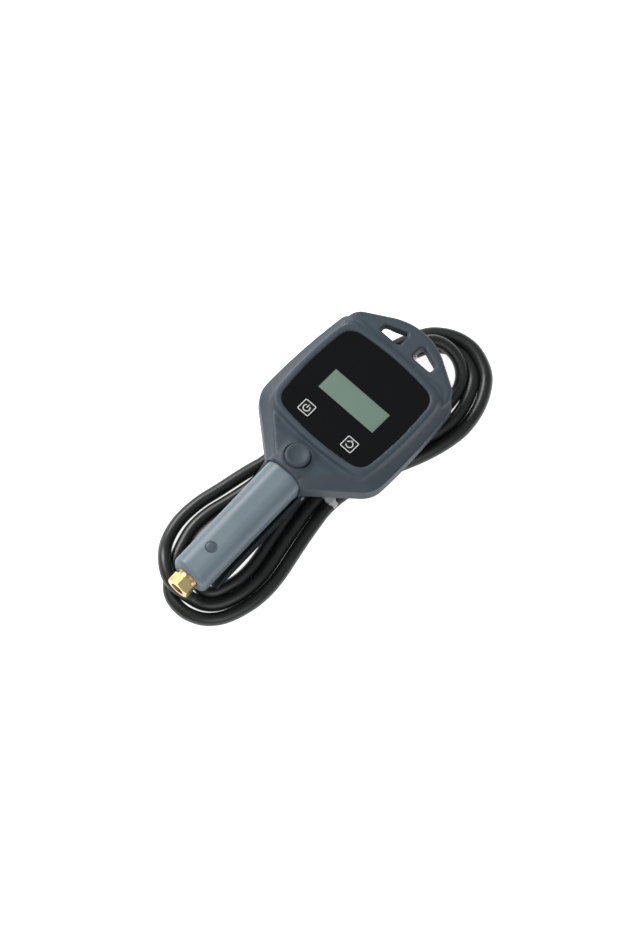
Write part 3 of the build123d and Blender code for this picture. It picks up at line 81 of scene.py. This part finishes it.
# Shader node groups that several finishes share
def new_group(name, inputs, outputs):
    """Empty shader group; inputs and outputs are (name, socket kind, default)."""
    group = bpy.data.node_groups.new(name, "ShaderNodeTree")
    for label, kind, default in inputs:
        socket = group.interface.new_socket(label, in_out="INPUT", socket_type=kind)
        socket.default_value = default
    for label, kind in outputs:
        group.interface.new_socket(label, in_out="OUTPUT", socket_type=kind)
    return group, group.nodes.new("NodeGroupInput"), group.nodes.new("NodeGroupOutput")


def math_node(nodes, links, operation, first, second):
    """Math node with sockets or numbers on its two inputs."""
    node = nodes.new("ShaderNodeMath")
    node.operation = operation
    for slot, value in enumerate((first, second)):
        if isinstance(value, (int, float)):
            node.inputs[slot].default_value = value
        else:
            links.new(value, node.inputs[slot])
    return node.outputs[0]


def add_camera():
    """Long lens looking along the photograph's direction, given by its azimuth and elevation."""
    azimuth, elevation = np.radians(CAMERA_AZIMUTH), np.radians(CAMERA_ELEVATION)
    level = np.cos(elevation)
    back = Vector((np.sin(azimuth) * level, -np.cos(azimuth) * level, np.sin(elevation)))
    lens = bpy.data.cameras.new("camera")
    lens.sensor_fit = "VERTICAL"
    lens.sensor_height = SENSOR_MM
    lens.lens = LENS_MM
    lens.clip_end = 20.0
    camera = bpy.data.objects.new("camera", lens)
    scene.collection.objects.link(camera)
    camera.location = Vector(CAMERA_AIM) + back * CAMERA_AWAY
    camera.rotation_euler = back.to_track_quat("Z", "Y").to_euler()
    scene.camera = camera


def add_light(name, place, size, power, colour):
    """Square soft lamp at a place in metres, turned to the middle of the object."""
    lamp = bpy.data.lights.new(name, "AREA")
    lamp.size = size
    lamp.energy = power
    lamp.color = colour
    holder = bpy.data.objects.new(name, lamp)
    scene.collection.objects.link(holder)
    holder.location = place
    away = Vector(place) - Vector((0.0, MIDDLE_Y, 0.0))
    holder.rotation_euler = away.to_track_quat("Z", "Y").to_euler()


def add_floor():
    """Pale floor under the hose, white where the camera sees it, with the shadow kept."""
    near, far = MIDDLE_Y - FLOOR_HALF, MIDDLE_Y + FLOOR_HALF
    corners = [(-FLOOR_HALF, near, FLOOR_LEVEL), (FLOOR_HALF, near, FLOOR_LEVEL),
               (FLOOR_HALF, far, FLOOR_LEVEL), (-FLOOR_HALF, far, FLOOR_LEVEL)]
    mesh = bpy.data.meshes.new("floor")
    mesh.from_pydata(corners, [], [(0, 1, 2, 3)])
    floor = bpy.data.objects.new("floor", mesh)
    scene.collection.objects.link(floor)
    material = bpy.data.materials.new("floor")
    material.use_nodes = True
    nodes, links = material.node_tree.nodes, material.node_tree.links
    shader = nodes["Principled BSDF"]
    shader.inputs["Base Color"].default_value = (0.86, 0.87, 0.88, 1.0)
    shader.inputs["Roughness"].default_value = 0.9
    shader.inputs["Specular IOR Level"].default_value = 0.1
    rays = nodes.new("ShaderNodeLightPath")
    seen = math_node(nodes, links, "ADD", rays.outputs["Is Camera Ray"], rays.outputs["Is Glossy Ray"])
    shown = math_node(nodes, links, "ADD", seen, rays.outputs["Is Transmission Ray"])
    glow = math_node(nodes, links, "MULTIPLY", shown, FLOOR_GLOW)
    shader.inputs["Emission Color"].default_value = (1.0, 1.0, 1.0, 1.0)
    links.new(glow, shader.inputs["Emission Strength"])
    mesh.materials.append(material)


def add_world():
    """Soft grey surround that lights the object, and white where the camera looks past it."""
    world = bpy.data.worlds.new("surround")
    scene.world = world
    world.use_nodes = True
    nodes, links = world.node_tree.nodes, world.node_tree.links
    light = nodes["Background"]
    rays = nodes.new("ShaderNodeLightPath")
    mix = nodes.new("ShaderNodeMix")
    mix.data_type = "FLOAT"
    links.new(rays.outputs["Is Camera Ray"], mix.inputs["Factor"])
    mix.inputs["A"].default_value = SURROUND_LIGHT
    mix.inputs["B"].default_value = SURROUND_SEEN
    light.inputs["Color"].default_value = (1.0, 1.0, 1.0, 1.0)
    links.new(mix.outputs["Result"], light.inputs["Strength"])


add_camera()
add_world()
add_floor()
add_light("key_lamp", (-1.15, 0.25, 1.05), 0.7, 20.0, (1.0, 0.99, 0.97))
add_light("fill_lamp", (0.9, -0.5, 1.1), 1.1, 7.0, (0.95, 0.98, 1.0))


def make_moulded_grain():
    """Fine pebbled skin plus slow unevenness: Height is the fine noise plus part of a slow one."""
    group, start, end = new_group(
        "moulded_grain",
        [("Scale", "NodeSocketFloat", 900.0), ("Slow scale", "NodeSocketFloat", 40.0)],
        [("Height", "NodeSocketFloat")],
    )
    nodes, links = group.nodes, group.links
    place = nodes.new("ShaderNodeTexCoord")
    fine = nodes.new("ShaderNodeTexNoise")
    fine.inputs["Detail"].default_value = 3.0
    slow = nodes.new("ShaderNodeTexNoise")
    slow.inputs["Detail"].default_value = 4.0
    for noise, scale in ((fine, "Scale"), (slow, "Slow scale")):
        links.new(place.outputs["Object"], noise.inputs["Vector"])
        links.new(start.outputs[scale], noise.inputs["Scale"])
    soft = math_node(nodes, links, "MULTIPLY", slow.outputs["Fac"], 0.6)
    links.new(math_node(nodes, links, "ADD", fine.outputs["Fac"], soft), end.inputs["Height"])
    return group


def make_handled_wear():
    """Rubbed and dusty tone: mixes Base towards Worn where slow noise is high, and lifts roughness there."""
    group, start, end = new_group(
        "handled_wear",
        [("Base", "NodeSocketColor", (0.1, 0.1, 0.1, 1.0)),
         ("Worn", "NodeSocketColor", (0.2, 0.2, 0.2, 1.0)),
         ("Amount", "NodeSocketFloat", 0.3), ("Scale", "NodeSocketFloat", 60.0),
         ("Roughness", "NodeSocketFloat", 0.5), ("Spread", "NodeSocketFloat", 0.1)],
        [("Color", "NodeSocketColor"), ("Roughness", "NodeSocketFloat")],
    )
    nodes, links = group.nodes, group.links
    place = nodes.new("ShaderNodeTexCoord")
    noise = nodes.new("ShaderNodeTexNoise")
    noise.inputs["Detail"].default_value = 5.0
    noise.inputs["Roughness"].default_value = 0.6
    links.new(place.outputs["Object"], noise.inputs["Vector"])
    links.new(start.outputs["Scale"], noise.inputs["Scale"])
    ramp = nodes.new("ShaderNodeMapRange")
    ramp.inputs["From Min"].default_value = 0.35
    ramp.inputs["From Max"].default_value = 0.75
    links.new(noise.outputs["Fac"], ramp.inputs["Value"])
    share = math_node(nodes, links, "MULTIPLY", ramp.outputs["Result"], start.outputs["Amount"])
    mix = nodes.new("ShaderNodeMix")
    mix.data_type = "RGBA"
    links.new(share, mix.inputs["Factor"])
    links.new(start.outputs["Base"], mix.inputs["A"])
    links.new(start.outputs["Worn"], mix.inputs["B"])
    links.new(mix.outputs["Result"], end.inputs["Color"])
    lift = math_node(nodes, links, "MULTIPLY", ramp.outputs["Result"], start.outputs["Spread"])
    links.new(math_node(nodes, links, "ADD", start.outputs["Roughness"], lift), end.inputs["Roughness"])
    return group


MOULDED_GRAIN = make_moulded_grain()
HANDLED_WEAR = make_handled_wear()


def finish(name, base, worn, roughness, grain=900.0, depth=0.02, amount=0.35, wear_scale=60.0,
           spread=0.08, metallic=0.0, specular=0.5):
    """Material with worn colour and roughness and a moulded or machined grain as its bump."""
    material = bpy.data.materials.new(name)
    material.use_nodes = True
    nodes, links = material.node_tree.nodes, material.node_tree.links
    shader = nodes["Principled BSDF"]
    shader.inputs["Metallic"].default_value = metallic
    shader.inputs["Specular IOR Level"].default_value = specular
    wear = nodes.new("ShaderNodeGroup")
    wear.node_tree = HANDLED_WEAR
    wear.inputs["Base"].default_value = (*base, 1.0)
    wear.inputs["Worn"].default_value = (*worn, 1.0)
    wear.inputs["Amount"].default_value = amount
    wear.inputs["Scale"].default_value = wear_scale
    wear.inputs["Roughness"].default_value = roughness
    wear.inputs["Spread"].default_value = spread
    links.new(wear.outputs["Color"], shader.inputs["Base Color"])
    links.new(wear.outputs["Roughness"], shader.inputs["Roughness"])
    skin = nodes.new("ShaderNodeGroup")
    skin.node_tree = MOULDED_GRAIN
    skin.inputs["Scale"].default_value = grain
    bump = nodes.new("ShaderNodeBump")
    bump.inputs["Strength"].default_value = 0.6
    bump.inputs["Distance"].default_value = depth * MM
    links.new(skin.outputs["Height"], bump.inputs["Height"])
    links.new(bump.outputs["Normal"], shader.inputs["Normal"])
    return material


# Looks of the slots: colours as linear red, green and blue; grain and wear scales per metre; depth in mm
LOOKS = {
    "boot_rubber": dict(
        base=(0.043, 0.060, 0.080), worn=(0.062, 0.082, 0.104), roughness=0.50,
        grain=1400, depth=0.05, amount=0.5, wear_scale=45),
    "handle_plastic": dict(
        base=(0.175, 0.225, 0.265), worn=(0.23, 0.285, 0.325), roughness=0.40,
        grain=1800, depth=0.02, amount=0.5, wear_scale=30),
    "plug_dark": dict(
        base=(0.070, 0.095, 0.118), worn=(0.10, 0.13, 0.155), roughness=0.38,
        grain=1800, depth=0.02, amount=0.5, wear_scale=60),
    "black_gloss": dict(
        base=(0.0025, 0.003, 0.0035), worn=(0.004, 0.0045, 0.005), roughness=0.06,
        grain=500, depth=0.001, amount=0.4, wear_scale=30, spread=0.03, specular=0.3),
    "lcd_glass": dict(
        base=(0.17, 0.255, 0.205), worn=(0.19, 0.28, 0.23), roughness=0.22,
        grain=400, depth=0.001, amount=0.4, wear_scale=25, spread=0.02),
    "housing_black": dict(
        base=(0.018, 0.020, 0.023), worn=(0.035, 0.038, 0.042), roughness=0.45,
        grain=1500, depth=0.04, amount=0.4),
    "brass": dict(
        base=(0.80, 0.62, 0.31), worn=(0.68, 0.50, 0.24), roughness=0.27,
        grain=1200, depth=0.008, amount=0.5, wear_scale=90, spread=0.15, metallic=1.0),
    "steel": dict(
        base=(0.52, 0.53, 0.54), worn=(0.42, 0.43, 0.44), roughness=0.28,
        grain=1500, depth=0.006, amount=0.5, wear_scale=90, spread=0.15, metallic=1.0),
    "spring_steel": dict(
        base=(0.45, 0.46, 0.48), worn=(0.35, 0.36, 0.38), roughness=0.3,
        grain=1500, depth=0.004, metallic=1.0),
    "lever_metal": dict(
        base=(0.028, 0.040, 0.046), worn=(0.05, 0.065, 0.072), roughness=0.38,
        grain=1500, depth=0.03, amount=0.5, wear_scale=50),
    "valve_aluminium": dict(
        base=(0.6, 0.61, 0.62), worn=(0.5, 0.51, 0.52), roughness=0.35,
        grain=1200, depth=0.01, metallic=1.0),
    "board_green": dict(
        base=(0.02, 0.13, 0.055), worn=(0.03, 0.17, 0.08), roughness=0.3,
        grain=700, depth=0.01, amount=0.5, wear_scale=80),
    "mat_rubber": dict(
        base=(0.35, 0.35, 0.35), worn=(0.42, 0.42, 0.42), roughness=0.6,
        grain=900, depth=0.02),
    "key_face": dict(
        base=(0.004, 0.0045, 0.005), worn=(0.006, 0.0065, 0.007), roughness=0.10,
        grain=700, depth=0.003, amount=0.4, wear_scale=40, spread=0.05),
    "cell_skin": dict(
        base=(0.05, 0.05, 0.055), worn=(0.09, 0.09, 0.1), roughness=0.3,
        grain=900, depth=0.004, metallic=0.4),
    "contact_metal": dict(
        base=(0.65, 0.65, 0.62), worn=(0.5, 0.5, 0.48), roughness=0.3,
        grain=900, depth=0.004, metallic=1.0),
    "hose_rubber": dict(
        base=(0.0085, 0.0105, 0.0100), worn=(0.020, 0.024, 0.023), roughness=0.34,
        grain=1600, depth=0.02, amount=0.5, wear_scale=70, spread=0.12, specular=0.6),
    "tie_nylon": dict(
        base=(0.66, 0.69, 0.68), worn=(0.55, 0.58, 0.57), roughness=0.35,
        grain=1200, depth=0.01),
    "connector_metal": dict(
        base=(0.50, 0.50, 0.49), worn=(0.40, 0.40, 0.39), roughness=0.22,
        grain=900, depth=0.003, metallic=1.0),
    "white_print": dict(
        base=(0.78, 0.79, 0.78), worn=(0.66, 0.67, 0.66), roughness=0.4,
        grain=1500, depth=0.002, amount=0.4, wear_scale=120),
    "seal_rubber": dict(
        base=(0.015, 0.015, 0.015), worn=(0.03, 0.03, 0.03), roughness=0.5,
        grain=900, depth=0.02),
}
FINISHES = {name: finish(name, **look) for name, look in LOOKS.items()}


def make_clear_window():
    """Clear plastic of the display window: plain transmission with a smooth, glossy face."""
    material = bpy.data.materials.new("clear_window")
    material.use_nodes = True
    shader = material.node_tree.nodes["Principled BSDF"]
    shader.inputs["Base Color"].default_value = (0.95, 0.98, 0.96, 1.0)
    shader.inputs["Roughness"].default_value = 0.03
    shader.inputs["Transmission Weight"].default_value = 1.0
    shader.inputs["IOR"].default_value = 1.2
    return material


FINISHES["clear_window"] = make_clear_window()

SLOT_OF_NODE = {entry["node"]: entry["material_slot"] for entry in frame["record"]["subparts"]}
for node_name, cad_object in frame["nodes"].items():
    slot_name = SLOT_OF_NODE[node_name]
    for place in cad_object.material_slots:
        place.material = FINISHES[slot_name]


def new_piece(name, mesh, slot_name, body="gauge", replaced=(), look=None):
    """Links a finished mesh or curve at the origin, gives it its finish and declares what it rides on."""
    piece = bpy.data.objects.new(name, mesh)
    scene.collection.objects.link(piece)
    piece.data.materials.append(FINISHES[look or slot_name])
    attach(piece, body)
    if replaced:
        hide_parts(*replaced)
    return piece


# Hose: one cord from the head through three turns to the tyre connector
HOSE_D = 10.4
HOSE_Z = -34.8
OUTER_EDGE = np.array([
    (68.6, 278.1), (73.0, 260.7), (73.3, 242.6), (66.3, 215.5), (53.0, 187.2), (43.0, 162.0),
    (37.5, 136.3), (40.5, 112.5), (44.4, 89.6), (49.1, 65.1), (49.1, 43.1), (44.4, 24.5), (38.2, 10.7),
    (28.8, 0.2), (17.9, -5.5), (6.2, -8.0), (-8.7, -5.7), (-20.4, 1.9), (-34.5, 14.4), (-44.6, 29.0),
    (-49.3, 48.8), (-47.7, 70.7), (-42.3, 90.0), (-36.8, 114.1), (-30.5, 132.6), (-33.0, 157.0),
    (-35.5, 182.0), (-35.0, 208.0), (-31.0, 232.0), (-24.5, 255.0), (-17.7, 274.6), (-9.5, 290.7),
    (-1.7, 298.9), (10.1, 306.1), (24.1, 309.4), (36.6, 308.0), (50.7, 301.8), (60.0, 293.5),
])
LEAD_POINTS = [
    (0.0, 255.6, -16.7), (0.0, 267.0, -18.2), (1.0, 278.0, -19.8), (7.5, 286.5, -21.8), (19.5, 289.5, -24.5),
    (32.0, 287.0, -28.5), (41.5, 278.5, -32.8), (45.5, 265.5, -34.6),
]
TAIL_POINTS = [
    (-20.0, 119.0, -31.5), (-20.5, 131.0, -24.6), (-25.5, 143.0, -23.8), (-33.5, 153.0, -24.8),
    (-41.9, 168.1, -31.8), (-43.2, 180.0, -32.5), (-44.0, 192.0, -32.5),
]


def hose_row(stations, insets, heights):
    """Points of one turn: station numbers on the outer edge, moved inwards along its normal.

    Insets and heights are (station, millimetres) pairs; between them both change evenly. The edge's
    normal at a station is square to the line between its two neighbours.
    """
    ahead, behind = np.roll(OUTER_EDGE, -1, axis=0), np.roll(OUTER_EDGE, 1, axis=0)
    along = (ahead - behind) / np.linalg.norm(ahead - behind, axis=1)[:, None]
    inward = np.stack([along[:, 1], -along[:, 0]], axis=1)
    stations = np.asarray(stations)
    inset = np.interp(stations, *zip(*insets))
    height = np.interp(stations, *zip(*heights))
    place = OUTER_EDGE[stations] + inward[stations] * inset[:, None]
    return np.column_stack([place, height])


FLAT = [(0, HOSE_Z), (37, HOSE_Z)]
HUMP = [(0, HOSE_Z), (14, HOSE_Z), (15, -33.6), (16, -25.8), (17, -24.2), (18, -25.2), (19, -32.6),
        (20, HOSE_Z)]
FIRST_INSETS = [(2, 27.6), (5, 26.2), (8, 26.0), (12, 26.6), (16, 28.5), (20, 26.4), (25, 25.5), (29, 16.0),
                (37, 15.4)]
SECOND_INSETS = [(0, 15.8), (5, 15.6), (11, 15.8), (13, 17.0), (15, 17.2), (16, 12.5), (17, 6.0), (18, 5.0),
                 (19, 5.2), (37, 5.2)]
THIRD_INSETS = [(0, 5.2), (16, 5.2), (17, 7.0), (18, 13.5), (19, 17.5), (21, 16.6), (23, 17.0)]
first_turn = hose_row(range(2, 38), FIRST_INSETS, FLAT)
second_turn = hose_row(range(0, 38), SECOND_INSETS, HUMP)
third_turn = hose_row(range(0, 24), THIRD_INSETS, FLAT)
HOSE_POINTS = np.vstack([LEAD_POINTS, first_turn, second_turn, third_turn, TAIL_POINTS])


def make_hose():
    """Smooth round cord: a quadratic spline on the route's points with a circle carried along it."""
    curve = bpy.data.curves.new("hose", "CURVE")
    curve.dimensions = "3D"
    curve.bevel_depth = HOSE_D / 2 * MM
    curve.bevel_resolution = 6
    curve.resolution_u = 8
    spline = curve.splines.new("NURBS")
    spline.points.add(len(HOSE_POINTS) - 1)
    rows = np.column_stack([HOSE_POINTS * MM, np.ones(len(HOSE_POINTS))])
    spline.points.foreach_set("co", rows.ravel())
    spline.order_u = 3
    spline.use_endpoint_u = True
    hose = new_piece("hose", curve, "hose_rubber", replaced=("hose_lead", "hose_hank", "hose_tail"))


make_hose()

# Shares of the way to the neighbours' mean: onwards on one step, back on the next
MOVE_OUT = 0.6
MOVE_BACK = -0.35


def soft_copy(node, name, slot_name, voxel, passes):
    """Rubbery copy of a CAD solid: an even voxel skin whose vertices move towards their neighbours' mean.

    The mean is worked out for all vertices at once from the edge list, and the move is repeated; every
    second move goes back a little so that the form keeps its volume.
    """
    source = frame["nodes"][node]
    mesh = source.data.copy()
    mesh.transform(source.matrix_world)
    work = bmesh.new()
    work.from_mesh(mesh)
    bmesh.ops.remove_doubles(work, verts=work.verts, dist=1e-6)
    work.to_mesh(mesh)
    work.free()
    holder = bpy.data.objects.new(name + "_skin", mesh)
    scene.collection.objects.link(holder)
    skin = holder.modifiers.new("skin", "REMESH")
    skin.mode = "VOXEL"
    skin.voxel_size = voxel * MM
    even = bpy.data.meshes.new_from_object(holder.evaluated_get(bpy.context.evaluated_depsgraph_get()))
    bpy.data.objects.remove(holder)
    count = len(even.vertices)
    places = np.empty(count * 3)
    even.vertices.foreach_get("co", places)
    places = places.reshape(-1, 3)
    ends = np.empty(len(even.edges) * 2, dtype=int)
    even.edges.foreach_get("vertices", ends)
    ends = ends.reshape(-1, 2)
    tally = np.bincount(ends.ravel(), minlength=count)[:, None]
    for step in range(passes * 2):
        total = np.column_stack([
            np.bincount(ends[:, 0], places[ends[:, 1], axis], count)
            + np.bincount(ends[:, 1], places[ends[:, 0], axis], count) for axis in range(3)])
        share = MOVE_OUT if step % 2 == 0 else MOVE_BACK
        places += share * (total / tally - places)
    even.vertices.foreach_set("co", places.ravel())
    even.polygons.foreach_set("use_smooth", np.ones(len(even.polygons), dtype=bool))
    even.materials.clear()
    even.name = name
    even.update()
    return new_piece(name, even, slot_name, replaced=(node,))


# Display plate: half its width and length at the corners, and at the middle of its bowed sides
PLATE_CORNER = (43.0, 41.5)
PLATE_BULGE = (46.0, 45.5)


def plate_edge():
    """Barrel-sided outline of the display plate: four shallow arcs, as rows of x and p."""
    half, reach = PLATE_CORNER
    bulge, bulge_reach = PLATE_BULGE
    t = np.linspace(-1.0, 1.0, 48, endpoint=False)
    low = np.column_stack([t * half, -bulge_reach + (bulge_reach - reach) * t**2])
    right = np.column_stack([bulge - (bulge - half) * t**2, t * reach])
    return np.vstack([low, right, -low, -right])


def smooth_step(value, start, end):
    """Zero before start, one after end, and an even S between."""
    t = np.clip((value - start) / (end - start), 0.0, 1.0)
    return t * t * (3.0 - 2.0 * t)


# Moulded forms of the boot, in millimetres: how far each sinks or rises, and how wide the barrel is
VALLEY_SINK = 1.7
BARREL_RISE = 2.0
BARREL_HALF = 12.5
COLLAR_RISE = 1.5
BUTTON_P = -66.5


def sculpt_boot(skin):
    """Moves the skin's outward-facing parts along the face's normal, to the moulded forms of the boot.

    A soft valley runs outside the rim, a low barrel carries the handle's round on under the button, and
    a collar rises round the button.
    """
    mesh = skin.data
    count = len(mesh.vertices)
    places, normals = np.empty(count * 3), np.empty(count * 3)
    mesh.vertices.foreach_get("co", places)
    mesh.vertices.foreach_get("normal", normals)
    local = (places.reshape(-1, 3) / MM - HEAD_CENTRE) @ HEAD_AXES.T
    facing = smooth_step(normals.reshape(-1, 3) @ HEAD_AXES[2], 0.15, 0.7) * (local[:, 2] > -14.0)
    x, p = local[:, 0], local[:, 1]
    edge = plate_edge()
    gap = np.sqrt(((local[:, None, :2] - edge[None]) ** 2).sum(axis=2)).min(axis=1)
    outside = smooth_step(gap, 4.6, 7.4)
    open_ear = 1.0 - 0.75 * smooth_step(p, 44.0, 54.0)
    valley = -VALLEY_SINK * outside * (1.0 - 0.75 * smooth_step(gap, 8.0, 17.0)) * open_ear
    barrel = BARREL_RISE * np.exp(-((x / BARREL_HALF) ** 4)) * (1.0 - smooth_step(p, -58.0, -52.0))
    reach = np.hypot(x, (p - BUTTON_P) / np.where(p < BUTTON_P, 1.12, 1.0))
    collar = COLLAR_RISE * (1.0 - smooth_step(reach, 10.2, 14.5))
    move = facing * (valley + np.maximum(barrel, collar) + 0.3 * np.minimum(barrel, collar))
    places += (move[:, None] * HEAD_AXES[2] * MM).ravel()
    mesh.vertices.foreach_set("co", places)
    mesh.update()


boot_skin = soft_copy("boot", "boot_skin", "boot_rubber", 0.85, 9)
sculpt_boot(boot_skin)


def grid_mesh(name, points, close_u=False, close_v=False, pole=False):
    """Mesh of a grid of points in millimetres, rows by columns; quads join neighbours, and may wrap round.

    A pole closes the last row with one fan of triangles to its mean.
    """
    rows, columns = points.shape[:2]
    index = np.arange(rows * columns).reshape(rows, columns)
    a = index if close_u else index[:-1]
    b = np.roll(index, -1, axis=0) if close_u else index[1:]
    if close_v:
        c, d = np.roll(b, -1, axis=1), np.roll(a, -1, axis=1)
    else:
        a, b, c, d = a[:, :-1], b[:, :-1], b[:, 1:], a[:, 1:]
    faces = np.stack([a, b, c, d], axis=-1).reshape(-1, 4).tolist()
    places = points.reshape(-1, 3)
    if pole:
        places = np.vstack([places, points[-1].mean(axis=0)])
        last = index[-1]
        faces += [(int(last[i - 1]), int(last[i]), rows * columns)[::-1] for i in range(columns)]
    mesh = bpy.data.meshes.new(name)
    mesh.from_pydata((places * MM).tolist(), [], faces)
    mesh.polygons.foreach_set("use_smooth", np.ones(len(mesh.polygons), dtype=bool))
    mesh.update()
    return mesh


def make_button():
    """Rubber dome: a profile of radius and height turned round the face's normal, longer to the handle."""
    profile = np.array([
        (9.6, -1.7), (9.9, -1.55), (10.05, -0.75), (10.05, -0.2), (10.0, 0.5), (9.9, 1.2),
        (9.7, 1.8), (9.2, 2.2), (8.4, 2.4), (7.4, 2.3), (6.3, 2.0), (4.8, 1.6), (3.0, 1.3), (1.2, 1.2),
    ])
    turn = np.linspace(0.0, 2.0 * np.pi, 72, endpoint=False)
    radius, height = profile[:, :1], profile[:, 1:]
    stretch = 1.0 + 0.035 * (1.0 - np.sin(turn)) * smooth_step(-height, -3.0, 0.5)
    points = on_head(radius * np.cos(turn), BUTTON_P + radius * np.sin(turn) * stretch, height)
    mesh = grid_mesh("button_dome", points, close_v=True, pole=True)
    dome = new_piece("button_dome", mesh, "boot_rubber", "bleed_button", replaced=("bleed_button",))
    smooth = dome.modifiers.new("smooth", "SUBSURF")
    smooth.levels = smooth.render_levels = 1


make_button()

PLUG_Y = 38.5


def make_plug():
    """Round plug on the handle: a profile of radius and height turned about +Z, grooved inside its edge."""
    profile = np.array([
        (4.70, 14.3), (4.72, 15.9), (4.68, 16.3), (4.5, 16.45), (4.25, 16.42), (4.1, 16.15), (3.85, 16.1),
        (3.6, 16.3), (2.4, 16.42), (0.8, 16.46),
    ])
    turn = np.linspace(0.0, 2.0 * np.pi, 64, endpoint=False)
    radius, height = profile[:, :1], profile[:, 1:]
    places = (radius * np.cos(turn), PLUG_Y + radius * np.sin(turn), height + 0.0 * turn)
    mesh = grid_mesh("plug_disc", np.stack(places, axis=-1), close_v=True, pole=True)
    slot = SLOT_OF_NODE["handle_plug"]
    new_piece("plug_disc", mesh, slot, replaced=("handle_plug",), look="plug_dark")


make_plug()


# Display panel: half sizes, its middle along the face, its depth and how far its edge turns down
PANEL_HALF = (28.0, 10.3)
PANEL_P = -1.8
PANEL_TOP = -1.62
PANEL_TURN_DOWN = 0.35


def make_display():
    """Green display panel just under the plate's face: flat, turned down at its edge by high powers."""
    u = np.linspace(-1.0, 1.0, 25)[None, :]
    v = np.linspace(-1.0, 1.0, 13)[:, None]
    edge = np.maximum(np.abs(u) ** 24, np.abs(v) ** 12)
    points = on_head(PANEL_HALF[0] * u, PANEL_P + PANEL_HALF[1] * v, PANEL_TOP - PANEL_TURN_DOWN * edge)
    new_piece("display_panel", grid_mesh("display_panel", points), "lcd_glass",
              replaced=("display_window", "lcd_module"))


make_display()


def printed_line(name, line, width, body, closed=True):
    """Printed line on a key: a path of x and p, widened to both sides along its own normal."""
    line = np.asarray(line, dtype=float)
    along = np.roll(line, -1, axis=0) - np.roll(line, 1, axis=0) if closed else np.gradient(line, axis=0)
    along /= np.linalg.norm(along, axis=1)[:, None]
    side = np.stack([-along[:, 1], along[:, 0]], axis=1) * width / 2
    flat = np.stack([line - side, line + side], axis=1)
    mesh = grid_mesh(name, on_head(flat[..., 0], flat[..., 1], KEY_TOP + 0.02), close_u=closed)
    piece = new_piece(name, mesh, "key_face", body, look="white_print")
    ink = piece.modifiers.new("ink", "SOLIDIFY")
    ink.thickness = 0.05 * MM
    ink.offset = -1.0


def rounded_square(x, p, half, corner, steps=6):
    """Points round a square with round corners, anticlockwise from the right."""
    turn = np.linspace(0.0, np.pi / 2, steps)
    arcs = [np.column_stack([half - corner + corner * np.cos(turn), half - corner + corner * np.sin(turn)])]
    for _ in range(3):
        arcs.append(arcs[-1] @ np.array([[0.0, 1.0], [-1.0, 0.0]]))
    return np.vstack(arcs) + (x, p)


def arc_points(x, p, radius, start, end, steps=24):
    """Points on an arc, its angles in degrees."""
    turn = np.radians(np.linspace(start, end, steps))
    return np.column_stack([x + radius * np.cos(turn), p + radius * np.sin(turn)])


KEY_X, KEY_P, KEY_TOP = 22.0, -31.4, -1.3
FRAME_HALF = 5.1
FRAME_CORNER = 0.8
FRAME_LINE = 0.75
SIGN_RADIUS = 2.7
SIGN_LINE = 0.8

left_frame = rounded_square(-KEY_X, KEY_P, FRAME_HALF, FRAME_CORNER)
left_ring = arc_points(-KEY_X, KEY_P - 0.3, SIGN_RADIUS, 125, 415)
left_bar = [(-KEY_X, KEY_P - 0.2), (-KEY_X, KEY_P + 1.5), (-KEY_X, KEY_P + 3.2)]
right_frame = rounded_square(KEY_X, KEY_P, FRAME_HALF, FRAME_CORNER)
right_loop = arc_points(KEY_X, KEY_P, SIGN_RADIUS, -150, 120)
right_arrow = [(KEY_X - 3.1, KEY_P + 0.6), (KEY_X - 1.35, KEY_P + 2.3), (KEY_X + 0.3, KEY_P + 4.1)]

printed_line("key_left_frame", left_frame, FRAME_LINE, "key_left")
printed_line("key_left_ring", left_ring, SIGN_LINE, "key_left", closed=False)
printed_line("key_left_bar", left_bar, SIGN_LINE, "key_left", closed=False)
printed_line("key_right_frame", right_frame, FRAME_LINE, "key_right")
printed_line("key_right_loop", right_loop, SIGN_LINE, "key_right", closed=False)
printed_line("key_right_arrow", right_arrow, SIGN_LINE, "key_right", closed=False)
